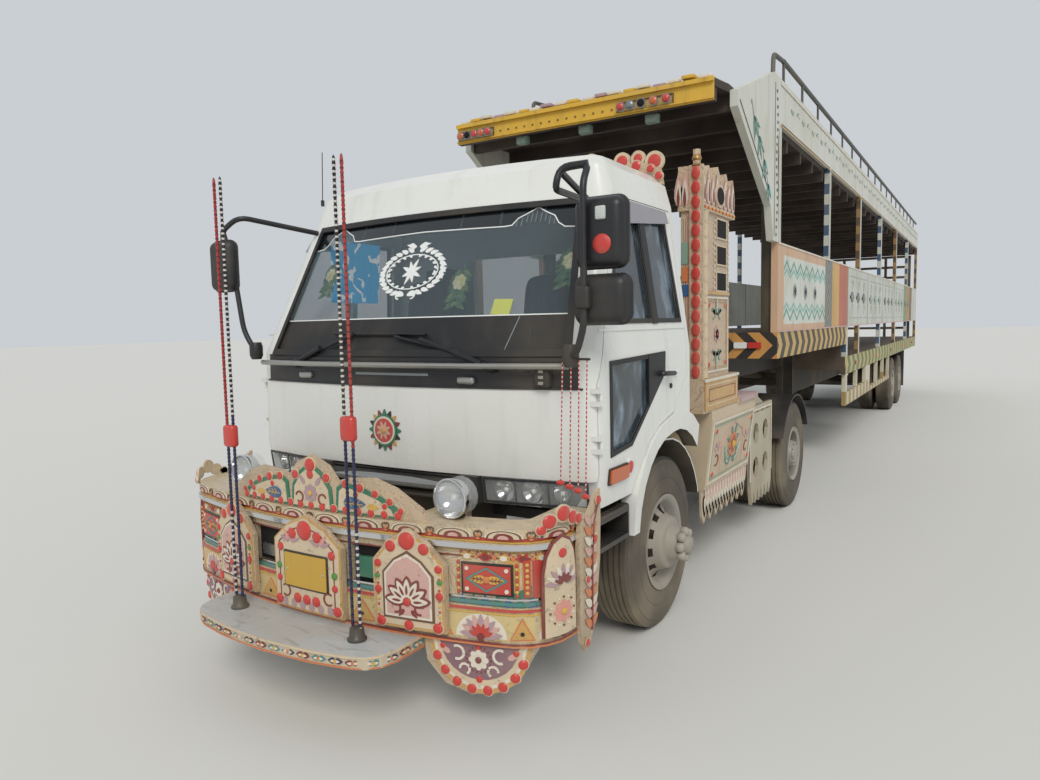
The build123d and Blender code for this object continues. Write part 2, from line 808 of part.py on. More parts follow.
skirt_outline = (
    (655, bumper_bottom), (670, 340), (760, 240), (900, 205), (1040, 240), (1130, 330),
    (1190, bumper_bottom),
)
with BuildPart() as bumper_skirts:
    add(bumper_ring(-6, -32, 200, bumper_bottom))
    with BuildPart(mode=Mode.PRIVATE) as skirt_zone:
        for side in SIDES.values():
            plate(cross_plane(-100), [(side * x, height) for x, height in skirt_outline], 700)
    add(skirt_zone.part, mode=Mode.INTERSECT)
save(bumper_skirts, "bumper_skirts")

with BuildPart() as whip_rods:
    for side in SIDES.values():
        for spread in (-24, 24):
            x = side * 420 + spread
            rod((x, -740, bumper_bottom), (x, -740, 2680), 8, sides=6)
        block((side * 420 - 40, side * 420 + 40), (-755, -725), (bumper_bottom, 500))
        rod((side * 420, -740, 1385), (side * 420, -740, 1475), 34, sides=8)
save(whip_rods, "whip_rods")

# Mirrors: the left-hand side has two heads on one frame, the right-hand side one
# X, station and height of each frame's corners, from the roof down to the cowl
mirror_frames = (
    (
        (1040, 500, 2560), (1110, 20, 2650), (1285, 0, 2650),
        (1285, 0, 1900), (1170, 20, 1770), (1165, 160, 1770),
    ),
    (
        (-1040, 500, 2560), (-1250, 20, 2640), (-1385, 0, 2560),
        (-1250, 20, 1900), (-1170, 40, 1770), (-1165, 160, 1770),
    ),
)
with BuildPart() as mirrors:
    for corners in mirror_frames:
        mitred_tube(corners, 17)
    block((1205, 1480), (-50, 70), (2160, 2500))
    block((1200, 1500), (-60, 60), (1900, 2140))
    block((-1500, -1270), (-50, 50), (2160, 2500))
    add(cab_solid(0), mode=Mode.SUBTRACT)
save(mirrors, "mirrors")

with BuildPart() as grab_rail:
    # X and station of the bar, then of the feet that hold it off the cowl
    bar = ((-1130, 60), (-620, -20), (0, -45), (620, -20), (1130, 60))
    mitred_tube([(x, station, 1700) for x, station in bar], 16)
    for x, station in ((-900, 25), (-300, -34), (300, -34), (900, 25)):
        rod((x, station, 1700), (x, 200, 1700), 11, sides=6)
    add(cab_solid(0), mode=Mode.SUBTRACT)
save(grab_rail, "grab_rail")

with BuildPart() as cab_steps:
    for side in SIDES.values():
        block((side * 1000, side * 1240), (110, 530), (885, 915))
        block((side * 1000, side * 1240), (110, 530), (740, 765))
        for post_at in (110, 515):
            block((side * 1000, side * 1240), (post_at, post_at + 15), (740, 915))
        block((side * 1000, side * 1012), (110, 530), (740, 915))
        block((side * rail_outer, side * 1012), (400, 450), (800, 860))
save(cab_steps, "cab_steps")

with BuildPart() as front_mudguards:
    for side in SIDES.values():
        band = arch(0).moved(Location((side * 1165, 0, 0)))
        extrude(band, amount=side * 97)
        hole = arch_opening().moved(Location((side * 1100, 0, 0)))
        extrude(hole, amount=side * 200, mode=Mode.SUBTRACT)
        with BuildSketch(side_plane(side * 640)) as lining:
            with Locations((front_axle_at, tyre_radius)):
                RegularPolygon(652, 32)
                RegularPolygon(642, 32, mode=Mode.SUBTRACT)
            with BuildLine():
                Polyline(
                    (0, -200), (2400, -200), (2400, 900), (front_axle_at, 540),
                    (600, 740), (0, 740), close=True,
                )
            make_face(mode=Mode.SUBTRACT)
        extrude(lining.sketch, amount=side * 560)
        block((side * rail_outer, side * 700), (1670, 1720), (930, 975))
save(front_mudguards, "front_mudguards")


# Behind the cab
with BuildPart() as towers:
    for side in SIDES.values():
        block((side * 1040, side * 1240), (1800, 2600), (1270, 1510))
        block((side * 1060, side * 1200), (1850, 2500), (1510, 2760))
        plate(
            side_plane(side * 1045),
            (
                (1830, 2660), (2560, 2660), (2600, 2760), (2570, 2960), (2480, 2870), (2400, 2980),
                (2310, 2880), (2200, 3000), (2090, 2880), (2000, 2980), (1920, 2870), (1840, 2960),
            ),
            side * 165,
        )
        for level in (2190, 2380, 2570):
            block((side * 1000, side * 1300), (2190, 2420), (level - 65, level + 65), mode=Mode.SUBTRACT)
        # Reflector board up the front outer corner and its round finial
        block((side * 1130, side * 1225), (1822, 1850), (1510, 2960))
        rod((side * 1178, 1836, 2960), (side * 1178, 1836, 3060), 26, sides=8)
        # Quarter column on the outer side
        rod((side * 1205, 1900, 1510), (side * 1205, 1900, 2660), 28, sides=8)
save(towers, "towers")

with BuildPart() as tool_boxes:
    for side in SIDES.values():
        plate(
            cross_plane(3100),
            [(side * x, height) for x, height in (
                (800, 1270), (1245, 1270), (1250, 1200), (1190, 700), (1090, 680), (800, 900),
            )],
            1140,
        )
        for bracket_at in (2100, 2900):
            block((side * rail_outer, side * 800), (bracket_at, bracket_at + 60), (900, 960))
        # Lid with an overhang, and pointed flaps below: station and height of each edge
        block((side * 790, side * 1262), (2600 + seat_gap, 3115), (1270, 1310))
        flaps = [(1960, 740)]
        for flap in range(8):
            flap_at = 1960 + 142.5 * flap
            flaps += [(flap_at + 20, 500), (flap_at + 71, 440), (flap_at + 122, 500), (flap_at + 142.5, 600)]
        flaps[-1] = (3100, 740)
        plate(side_plane(side * 1150), flaps, side * 16)
save(tool_boxes, "tool_boxes")

with BuildPart() as fuel_tanks:
    for side in SIDES.values():
        block((side * 520, side * 1080), (3180, 4020), (620, 1180))
    chamfer(fuel_tanks.edges().filter_by(Axis.Y), length=45)
    for side in SIDES.values():
        for bracket_at in (3300, 3840):
            block((side * rail_outer, side * 560), (bracket_at, bracket_at + 60), (860, 940))
        block((side * 1080, side * 1150), (3300, 3900), (700, 740))
        block((side * 1080, side * 1150), (3300, 3900), (1040, 1080))
        plate(
            side_plane(side * 1150),
            (
                (3160, 1160), (3960, 1160), (3935, 420), (3880, 300), (3820, 420), (3760, 300),
                (3700, 420), (3640, 300), (3580, 420), (3520, 300), (3460, 420), (3400, 300),
                (3340, 420), (3290, 300), (3250, 420),
            ),
            side * 30,
        )
        for hole_at in (3400, 3720):
            for level in (620, 920):
                ends = ((side * 1140, hole_at, level), (side * 1190, hole_at, level))
                rod(*ends, 95, mode=Mode.SUBTRACT, sides=8)
save(fuel_tanks, "fuel_tanks")

with BuildPart() as rear_mudguards:
    for side in SIDES.values():
        with BuildSketch(side_plane(side * 620)) as guard:
            with Locations((rear_axle_at, tyre_radius)):
                RegularPolygon(612, 32)
                RegularPolygon(600, 32, mode=Mode.SUBTRACT)
            with BuildLine():
                Polyline(
                    (3900, -200), (5500, -200), (5500, 780), (rear_axle_at, 740),
                    (3900, 780), close=True,
                )
            make_face(mode=Mode.SUBTRACT)
        extrude(guard.sketch, amount=side * 625)
        for bracket_at in (4300, 5080):
            block((side * rail_outer, side * 640), (bracket_at, bracket_at + 40), (950, 990))
save(rear_mudguards, "rear_mudguards")

with BuildPart() as roof_crest:
    plate(
        cross_plane(1495),
        (
            (-1080, 2790), (-1060, 2900), (-900, 2960), (-700, 2930), (-450, 2980), (-150, 2910),
            (0, 2960), (150, 2910), (450, 2980), (700, 2930), (900, 2960), (1060, 2900), (1080, 2790),
        ),
        30,
    )
    add(cab_solid(0), mode=Mode.SUBTRACT)
save(roof_crest, "roof_crest")


# Trailer
with BuildPart() as trailer_frame:
    for side in SIDES.values():
        beam_x = (side * 380, side * 470)
        block(beam_x, (3900, step_down - 60), (coupling_height + 30, side_rail_bottom + 60))
        block(beam_x, (step_down, body_rear), (820, rear_rail_bottom + 60))
        block(beam_x, (step_down - 220, step_down - 60), (820, side_rail_bottom + 60))
        block(beam_x, (step_down - 60, step_down), (820, rear_rail_bottom + 60))
        # Axle hangers
        for axle_at in trailer_axles_at:
            block(beam_x, (axle_at - 60, axle_at + 60), (tyre_radius + 50, 820))
        # Landing legs
        block((side * 560, side * 680), (7150, 7270), (700, side_rail_bottom + 60))
        block((side * 580, side * 660), (7170, 7250), (450, 700))
        block((side * 520, side * 720), (7110, 7310), (430, 450))
        block((side * 470, side * 560), (7180, 7240), (1400, 1480))
    block((-470, 470), (3900, 5400), (coupling_height + seat_gap, coupling_height + 30))
    for member_at in range(5900, 18800, 1290):
        low, high = (1400, 1500) if member_at < step_down else (900, 1000)
        block((-380, 380), (member_at, member_at + 80), (low, high))
    rod((0, coupling_at, 1185), (0, coupling_at, coupling_height + 10), coupling_pin_radius)
    for axle_at in trailer_axles_at:
        saddle = axle_tube_radius + seat_gap
        rod((-500, axle_at, tyre_radius), (500, axle_at, tyre_radius), saddle, mode=Mode.SUBTRACT)
save(trailer_frame, "trailer_frame")

with BuildPart() as trailer_axles:
    for axle_at in trailer_axles_at:
        rod((-1190, axle_at, tyre_radius), (1190, axle_at, tyre_radius), axle_tube_radius)
save(trailer_axles, "trailer_axles")

inside = (-wall_inner, wall_inner)
front_joist = (side_rail_bottom + 60, deck_top - 90)
rear_joist = (rear_rail_bottom + 60, rear_deck_top - 60)
with BuildPart() as lower_deck:
    block(inside, (deck_front + 60, step_down), (deck_top - 90, deck_top))
    block((-half_width, half_width), (deck_front, deck_front + 60), (side_rail_bottom, deck_top))
    block(inside, (step_down - 60, step_down), (rear_rail_bottom + 60, deck_top))
    block(inside, (step_down, body_rear), (rear_deck_top - 60, rear_deck_top))
    block(inside, (body_rear - 60, body_rear), rear_joist)
    for side in SIDES.values():
        rail = (side * wall_inner, side * half_width)
        block(rail, (deck_front, step_down), (side_rail_bottom, deck_top))
        block(rail, (step_down - 60, body_rear), (rear_rail_bottom, rear_deck_top))
        lug_x = (side * 1105, side * 1150)
        block(lug_x, (body_rear, ramp_hinge_at + 38), (ramp_hinge_height - 38, ramp_hinge_height + 38))
        rod(
            (side * 1100, ramp_hinge_at, ramp_hinge_height),
            (side * 1155, ramp_hinge_at, ramp_hinge_height),
            ramp_pin_radius + seat_gap,
            mode=Mode.SUBTRACT,
            sides=0,
        )
    for joist_at in range(4200, step_down - 200, 600):
        block(inside, (joist_at, joist_at + 60), front_joist)
    for joist_at in range(step_down + 200, body_rear, 700):
        block(inside, (joist_at, joist_at + 60), rear_joist)
save(lower_deck, "lower_deck")

posts_at = [first_post + post_pitch * number for number in range(bay_count + 1)]
with BuildPart() as side_posts:
    for side in SIDES.values():
        wall = (side * wall_inner, side * half_width)
        for post_at in posts_at:
            post = (post_at - post_width / 2, post_at + post_width / 2)
            block(wall, post, (belt_top, window_top))
            if post_at > step_down:
                block(wall, post, (rear_deck_top, belt_bottom))
        block(wall, (step_down, step_down + 120), (rear_deck_top, belt_bottom))
save(side_posts, "side_posts")

with BuildPart() as side_belts:
    for side in SIDES.values():
        block((side * wall_inner, side * half_width), (deck_front, body_rear), (belt_bottom, belt_top))
save(side_belts, "side_belts")

with BuildPart() as upper_deck:
    plate(
        plan_plane(upper_deck_bottom),
        (
            (-1150, upper_front), (1150, upper_front), (wall_inner, upper_front + 220),
            (wall_inner, body_rear), (-wall_inner, body_rear), (-wall_inner, upper_front + 220),
        ),
        upper_deck_top - upper_deck_bottom,
    )
    block((-1150, 1150), (upper_front, upper_front + 60), (3500, upper_deck_bottom))
    for joist_at in range(2600, body_rear, 600):
        block(inside, (joist_at, joist_at + 50), (upper_joist_bottom, upper_deck_bottom))
save(upper_deck, "upper_deck")

nose_lamp_x = (-1090, -1020, -945, -875, -805, 430, 510, 600, 700, 800)
with BuildPart() as nose_lamps:
    for x in nose_lamp_x:
        rod((x, upper_front - 45, 3560), (x, upper_front - seat_gap, 3560), 36, sides=10)
save(nose_lamps, "nose_lamps")

with BuildPart() as top_beams:
    for side in SIDES.values():
        plate(
            side_plane(side * wall_inner),
            (
                (2550, 3500), (3560, 2890), (3655, 2600), (3845, 2600), (3800, 3400),
                (3855, window_top), (body_rear, window_top), (body_rear, beam_top),
                (3670, beam_top), (2550, window_top - 40),
            ),
            side * (half_width - wall_inner),
        )
save(top_beams, "top_beams")

with BuildPart() as railings:
    for side in SIDES.values():
        tube_x = side * 1220
        rod((tube_x, 4100, rail_height), (tube_x, 18700, rail_height), 22, sides=8)
        for baluster_at in range(4120, 18700, 810):
            upright = (baluster_at - 22, baluster_at + 22)
            block((tube_x - 8, tube_x + 8), upright, (beam_top, rail_height))
save(railings, "railings")

with BuildPart() as side_skirts:
    for side in SIDES.values():
        wall = (side * (wall_inner + 10), side * half_width)
        block(wall, (step_down, step_down + 130), (710, rear_rail_bottom))
        block(wall, (step_down, 10200), (710, 890))
        block(wall, (9700, 10200), (710, rear_rail_bottom))
        block(wall, (8750, 8830), (710, rear_rail_bottom))
        block(wall, (10200, 13000), (710, 780))
        for post_at in (11100, 12000, 12900):
            block(wall, (post_at, post_at + 80), (710, rear_rail_bottom))
save(side_skirts, "side_skirts")

with BuildPart() as mud_flaps:
    for side in SIDES.values():
        flap_x = (side * 600, side * half_width)
        block(flap_x, (15960, 15975), (330, rear_rail_bottom))
        block((side * 470, side * 600), (15955, 15980), (1040, 1090))
save(mud_flaps, "mud_flaps")

with BuildPart() as tail_ramp:
    for side in SIDES.values():
        block((side * 1040, side * 1100), (ramp_hinge_at - 30, rear_end), (ramp_hinge_height, ramp_top))
        block((side * 480, side * 540), (ramp_hinge_at - 30, rear_end), (ramp_hinge_height, ramp_top))
        rod(
            (side * 1060, ramp_hinge_at, ramp_hinge_height),
            (side * 1150, ramp_hinge_at, ramp_hinge_height),
            ramp_pin_radius,
        )
    for rung in range(9):
        level = ramp_hinge_height + 60 + rung * 265
        block((-1040, 1040), (ramp_hinge_at - 20, rear_end - 20), (level, level + 60))
save(tail_ramp, "tail_ramp")
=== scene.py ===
# %% [markdown]
# # A painted car carrier
# The real vehicle is a white cab-over tractor that pulls a two-deck trailer, and most of it is hand painted.
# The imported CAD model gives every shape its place. This lesson gives the shapes their finishes and adds the
# carved, beaded and polished detail that a plain solid lacks. Lengths are metres in the model's own frame.

# %% Load the fixed frame
import math

import bmesh
import bpy
from mathutils import Matrix, Vector


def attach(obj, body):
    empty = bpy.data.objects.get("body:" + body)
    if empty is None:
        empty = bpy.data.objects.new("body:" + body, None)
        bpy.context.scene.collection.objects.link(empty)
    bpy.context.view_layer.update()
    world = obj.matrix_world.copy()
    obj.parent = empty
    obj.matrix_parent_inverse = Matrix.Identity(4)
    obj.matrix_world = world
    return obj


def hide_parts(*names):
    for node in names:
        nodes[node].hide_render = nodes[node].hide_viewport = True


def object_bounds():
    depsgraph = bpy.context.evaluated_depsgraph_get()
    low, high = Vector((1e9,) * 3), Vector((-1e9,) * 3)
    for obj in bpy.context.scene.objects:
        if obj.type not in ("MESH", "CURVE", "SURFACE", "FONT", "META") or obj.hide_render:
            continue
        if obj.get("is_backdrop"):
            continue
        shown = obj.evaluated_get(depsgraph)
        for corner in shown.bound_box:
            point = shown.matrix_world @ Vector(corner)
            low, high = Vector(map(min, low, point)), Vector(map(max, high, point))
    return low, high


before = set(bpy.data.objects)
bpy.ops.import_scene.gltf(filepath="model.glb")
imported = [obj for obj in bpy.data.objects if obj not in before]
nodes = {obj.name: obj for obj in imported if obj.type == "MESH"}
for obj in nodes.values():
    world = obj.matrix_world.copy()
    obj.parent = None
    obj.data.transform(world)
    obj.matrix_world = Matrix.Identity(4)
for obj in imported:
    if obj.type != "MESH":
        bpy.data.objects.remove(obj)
cad_low, cad_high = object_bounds()
print("CAD box", [round(v, 3) for v in cad_low], [round(v, 3) for v in cad_high])

# %% [markdown]
# ## The camera
# The photograph was taken with a wide lens, close to the left-hand front corner, a little below eye level and
# slightly tilted. A camera is a place and three directions, so its matrix is written from the three turns.
# Stations are distances behind the middle of the cab's front face, and one number turns them into Y.

# %% Place the camera
MIDDLE_STATION = 9.045
camera_place = Vector((2.883, -12.237, 1.914))
yaw, pitch, roll = (math.radians(turn) for turn in (32.07, -5.04, -1.19))
sensor_width = 36.0
focal_pixels, photo_width = 748.8, 1040.0


def at(station):
    """Gives the Y of a station."""
    return station - MIDDLE_STATION


camera_data = bpy.data.cameras.new("photo_camera")
camera_data.sensor_fit = "HORIZONTAL"
camera_data.sensor_width = sensor_width
camera_data.lens = focal_pixels / photo_width * sensor_width
camera_data.clip_end = 300
camera = bpy.data.objects.new("photo_camera", camera_data)
bpy.context.scene.collection.objects.link(camera)
bpy.context.scene.camera = camera
forward = Vector((-math.sin(yaw) * math.cos(pitch), math.cos(yaw) * math.cos(pitch), math.sin(pitch)))
level_right = forward.cross(Vector((0, 0, 1))).normalized()
level_up = level_right.cross(forward)
right = level_right * math.cos(roll) + level_up * math.sin(roll)
up = level_up * math.cos(roll) - level_right * math.sin(roll)
camera.matrix_world = Matrix.Translation(camera_place) @ Matrix((right, up, -forward)).transposed().to_4x4()
print("lens", round(camera_data.lens, 2), "mm")

# %% [markdown]
# ## Floor, sky and light
# The photograph has soft light from a hazy sky. A plain pale world gives that on its own, and one wide lamp
# adds a gentle direction, so that bevels and folds read. The floor is pale and keeps the shadow.

# %% Light the scene
scene = bpy.context.scene
scene.view_settings.view_transform = "Standard"
world = bpy.data.worlds.new("pale_sky")
scene.world = world
world.use_nodes = True
sky = world.node_tree.nodes["Background"].inputs
sky["Color"].default_value = (0.80, 0.84, 0.88, 1)
sky["Strength"].default_value = 0.74
sun_data = bpy.data.lights.new("hazy_sun", "SUN")
sun_data.energy = 1.5
sun_data.angle = math.radians(25)
sun_data.color = (1.0, 0.96, 0.90)
sun = bpy.data.objects.new("hazy_sun", sun_data)
scene.collection.objects.link(sun)
sun.rotation_euler = (math.radians(48), math.radians(14), math.radians(24))

# %% [markdown]
# ## Numbers that flow through a material
# Painted stripes, checks and zigzags are arithmetic on a point's place. Wiring Math nodes by hand hides that,
# so a small class gives node outputs the ordinary signs: `(station + height) % pitch < half` makes the nodes
# for a slanted stripe. A second class holds one finish and layers paints over each other with such masks.

# %% Helpers for materials
def linear(code):
    """Turns a #rrggbb colour into the linear values that a shader works with."""
    shares = [int(code[i:i + 2], 16) / 255 for i in (1, 3, 5)]
    return tuple(s / 12.92 if s <= 0.04045 else ((s + 0.055) / 1.055) ** 2.4 for s in shares) + (1.0,)


class Flow:
    """A number that flows through one material's nodes."""

    def __init__(self, tree, socket):
        self.tree = tree
        self.socket = socket

    def through(self, operation, *others):
        node = self.tree.nodes.new("ShaderNodeMath")
        node.operation = operation
        for slot, value in zip(node.inputs, (self, *others)):
            if isinstance(value, Flow):
                self.tree.links.new(value.socket, slot)
            else:
                slot.default_value = value
        return Flow(self.tree, node.outputs[0])

    def __add__(self, other):
        return self.through("ADD", other)

    def __sub__(self, other):
        return self.through("SUBTRACT", other)

    def __mul__(self, other):
        return self.through("MULTIPLY", other)

    def __truediv__(self, other):
        return self.through("DIVIDE", other)

    def __mod__(self, other):
        return self.through("FLOORED_MODULO", other)

    def __abs__(self):
        return self.through("ABSOLUTE")

    def __lt__(self, other):
        return self.through("LESS_THAN", other)

    def __gt__(self, other):
        return self.through("GREATER_THAN", other)

    def inside(self, low, high):
        """1 between two values, 0 elsewhere."""
        return (self > low) * (self < high)

    def ease(self, low, high):
        """Rises smoothly from 0 at low to 1 at high; low may be the larger."""
        node = self.tree.nodes.new("ShaderNodeMapRange")
        node.interpolation_type = "SMOOTHSTEP"
        self.tree.links.new(self.socket, node.inputs["Value"])
        node.inputs["From Min"].default_value = min(low, high)
        node.inputs["From Max"].default_value = max(low, high)
        node.inputs["To Min"].default_value = 0.0 if low < high else 1.0
        node.inputs["To Max"].default_value = 1.0 if low < high else 0.0
        return Flow(self.tree, node.outputs["Result"])


class Finish:
    """One material: a ground colour, paints layered over it, roughness and relief."""

    def __init__(self, name, colour, roughness, metallic=0.0, coat=0.0):
        self.material = bpy.data.materials.new(name)
        self.material.use_nodes = True
        self.tree = self.material.node_tree
        self.shader = self.tree.nodes["Principled BSDF"]
        self.ground = linear(colour)
        self.shader.inputs["Base Color"].default_value = self.ground
        self.shader.inputs["Roughness"].default_value = roughness
        self.shader.inputs["Metallic"].default_value = metallic
        self.shader.inputs["Coat Weight"].default_value = coat
        self.shader.inputs["Coat Roughness"].default_value = 0.12
        coordinates = self.tree.nodes.new("ShaderNodeTexCoord")
        self.place = coordinates.outputs["Object"]
        split = self.tree.nodes.new("ShaderNodeSeparateXYZ")
        self.tree.links.new(self.place, split.inputs[0])
        self.x, self.y, self.z = (Flow(self.tree, out) for out in split.outputs)
        self.station = self.y + MIDDLE_STATION
        self.painted = None
        self.relief = None

    def noise(self, scale, stretch=(1, 1, 1), detail=4.0, warp=0.0):
        """A cloudy number about 0.5; stretch above 1 makes it finer along that axis."""
        node = self.tree.nodes.new("ShaderNodeTexNoise")
        node.inputs["Scale"].default_value = scale
        node.inputs["Detail"].default_value = detail
        node.inputs["Distortion"].default_value = warp
        source = self.place
        if stretch != (1, 1, 1):
            mapping = self.tree.nodes.new("ShaderNodeMapping")
            mapping.inputs["Scale"].default_value = stretch
            self.tree.links.new(self.place, mapping.inputs["Vector"])
            source = mapping.outputs["Vector"]
        self.tree.links.new(source, node.inputs["Vector"])
        return Flow(self.tree, node.outputs["Fac"])

    def paint(self, mask, colour):
        """Lays a colour over what is there, as far as the mask says."""
        node = self.tree.nodes.new("ShaderNodeMix")
        node.data_type = "RGBA"
        self.tree.links.new(mask.socket, node.inputs[0])
        if self.painted is None:
            node.inputs[6].default_value = self.ground
        else:
            self.tree.links.new(self.painted, node.inputs[6])
        node.inputs[7].default_value = linear(colour)
        self.painted = node.outputs[2]
        self.tree.links.new(self.painted, self.shader.inputs["Base Color"])
        return self

    def gloss(self, flow):
        """Lets a number drive the roughness."""
        self.tree.links.new(flow.socket, self.shader.inputs["Roughness"])
        return self

    def emboss(self, height, depth):
        """Adds relief of a depth in metres from a number between 0 and 1."""
        node = self.tree.nodes.new("ShaderNodeBump")
        node.inputs["Distance"].default_value = depth
        self.tree.links.new(height.socket, node.inputs["Height"])
        if self.relief is not None:
            self.tree.links.new(self.relief, node.inputs["Normal"])
        self.relief = node.outputs["Normal"]
        self.tree.links.new(self.relief, self.shader.inputs["Normal"])
        return self


DUST = "#A89A82"


def weather(finish, dust=0.25, streaks=0.15, rough=0.35, dark="#6F675A", ground_dust=0.5):
    """Adds what years on a dusty road do: faint runs, dull patches and more dust low down."""
    runs = finish.noise(2.2, stretch=(5, 5, 0.6), detail=3)
    finish.paint(runs.ease(0.52, 0.78) * streaks, dark)
    cloud = finish.noise(1.7, detail=6)
    finish.paint(cloud.ease(0.40, 0.75) * dust, DUST)
    low = finish.z.ease(1.35, 0.15)
    finish.paint(low * cloud.ease(0.2, 0.7) * ground_dust, DUST)
    finish.gloss(cloud.ease(0.35, 0.8) * 0.3 + rough)
    finish.emboss(finish.noise(55, detail=2), 0.0006)
    return finish


def worn(name, colour, roughness, metallic=0.0, coat=0.0, **wear):
    """A new finish that the road has been at."""
    return weather(Finish(name, colour, roughness, metallic, coat), **wear)


# %% [markdown]
# ## Finishes of the tractor
# The cab's white enamel is glossy but tired: faint runs, a warm bloom of dust near the road and shallow
# dents. Plastic parts are near black and chalky. Frame and axles carry brown road dirt.

# %% Paint, plastic, glass and bare metal
cab_white = worn("cab_white", "#E2E3DE", 0.3, coat=0.25, dust=0.10, streaks=0.10, rough=0.26,
                 ground_dust=0.35)
cab_white.emboss(cab_white.noise(2.6, detail=1), 0.006)
black_plastic = worn("black_plastic", "#232326", 0.5, dust=0.14, streaks=0.12, rough=0.38, dark="#4A4640",
                     ground_dust=0.4)
black_plastic.emboss(black_plastic.noise(190, detail=1), 0.0004)
chassis_paint = worn("chassis_paint", "#2F2A25", 0.7, dust=0.35, streaks=0.3, rough=0.55, dark="#5B3B25",
                     ground_dust=0.6)
casting = worn("casting", "#4A4742", 0.6, metallic=0.4, dust=0.5, rough=0.5)
chrome = Finish("chrome", "#D9DADC", 0.12, metallic=1.0)
chrome.gloss(chrome.noise(9, detail=5).ease(0.35, 0.8) * 0.3 + 0.08)
chrome.paint(chrome.noise(5, detail=6).ease(0.58, 0.8) * 0.5, "#8B8271")
dull_steel = worn("dull_steel", "#A9A9A4", 0.4, metallic=0.7, dust=0.3, rough=0.3)
brass = worn("brass", "#B08A55", 0.35, metallic=0.8, dust=0.25, rough=0.28)

cab_glass_finish = Finish("cab_glass", "#5E6D74", 0.04, coat=0.3)
cab_glass_finish.shader.inputs["Alpha"].default_value = 0.30
cab_glass_finish.gloss(cab_glass_finish.noise(3.5, detail=6).ease(0.4, 0.9) * 0.12 + 0.03)
door_glass_finish = Finish("door_glass", "#3F4A52", 0.05, coat=0.4)
door_glass_finish.shader.inputs["Alpha"].default_value = 0.72
# The pale blue and white clouds laid on the door glass are a painted reflection.
painted_reflection = door_glass_finish.noise(7, stretch=(1, 1, 0.45), detail=4, warp=0.8)
door_glass_finish.paint(painted_reflection.ease(0.46, 0.66) * 0.75, "#93A9BC")
door_glass_finish.paint(painted_reflection.ease(0.62, 0.74) * 0.6, "#C9D3DA")
lamp_glass = Finish("lamp_glass", "#DDE2E2", 0.06, coat=0.4)
lamp_glass.shader.inputs["Alpha"].default_value = 0.24
lamp_glass.emboss((lamp_glass.x / 0.018 % 1).ease(0.1, 0.5), 0.0015)
seat_cloth = Finish("seat_cloth", "#5A4C48", 0.85)
seat_cloth.paint((seat_cloth.x / 0.09 % 1).inside(0.0, 0.5), "#6B3A38")
seat_cloth.emboss(seat_cloth.noise(260, detail=1), 0.0008)
seat_cloth.shader.inputs["Sheen Weight"].default_value = 0.3
dash_plastic = worn("dash_plastic", "#4E4C49", 0.6, dust=0.25, rough=0.5)

# %% [markdown]
# ## Enamels of the painted boards
# The boards on the bumper and the towers are carved or beaten, then painted in a dozen bright enamels. Each
# is chipped and dusty in the same way, so one function makes them all, and only the colour changes.

# %% Enamels
def enamel(name, colour, rough=0.3, wear=0.22):
    """A bright hand-laid paint with worn spots and a film of dust."""
    finish = Finish(name, colour, rough, coat=0.15)
    chips = finish.noise(34, detail=5, warp=0.4)
    finish.paint(chips.ease(0.58, 0.72) * wear * 1.7, "#84745F")
    specks = finish.noise(95, detail=5, warp=1.5)
    finish.paint(specks.ease(0.60, 0.74) * wear * 1.3, "#5B4A3D")
    film = finish.noise(6, detail=5)
    finish.paint(film.ease(0.35, 0.85) * wear, DUST)
    finish.gloss(film.ease(0.3, 0.8) * 0.35 + rough)
    finish.emboss(chips, 0.0008)
    return finish


cream = enamel("cream_enamel", "#D3C0A2", wear=0.36)
ivory = enamel("ivory_enamel", "#DED5C4", wear=0.26)
red = enamel("red_enamel", "#BE4136")
maroon = enamel("maroon_enamel", "#7C3432")
orange = enamel("orange_enamel", "#CF7B4C")
yellow = enamel("yellow_enamel", "#CFA850")
green = enamel("green_enamel", "#2A7459")
teal = enamel("teal_enamel", "#4D8683")
blue = enamel("blue_enamel", "#385F8E")
navy = enamel("navy_enamel", "#272B52")
mauve = enamel("mauve_enamel", "#AE9096")
pink = enamel("pink_enamel", "#D9958A")
brown = enamel("brown_enamel", "#6A4A33")
black = enamel("black_enamel", "#1E1B1B")
lens_red = Finish("lens_red", "#C7382E", 0.16, coat=0.6)
lens_red.emboss(lens_red.noise(420, detail=0), 0.0012)
lens_red.paint(lens_red.noise(14, detail=4).ease(0.55, 0.8) * 0.35, "#9B6B55")
lens_green = Finish("lens_green", "#4C8A3C", 0.2, coat=0.5)
lens_green.emboss(lens_green.noise(420, detail=0), 0.001)
amber = Finish("amber_lens", "#C9622E", 0.18, coat=0.5)
amber.emboss((amber.y / 0.012 % 1).ease(0.1, 0.5), 0.0012)

# %% [markdown]
# ## Finishes of the trailer
# The trailer is a patchwork: a salmon border round a pale field with sea-green zigzags, then a grey stripe,
# ochre and brick red, then long pale panels. The rails have slanted warning stripes. Each pattern is drawn
# with the station and the height alone, so it lies flat on the side like the real paint.

# %% Striped rails, painted belts, checked posts
OUTER_FACE = 1.247
RAIL_MIDDLE, LOW_RAIL_MIDDLE, RAIL_STEP = 1.67, 1.26, 7.75

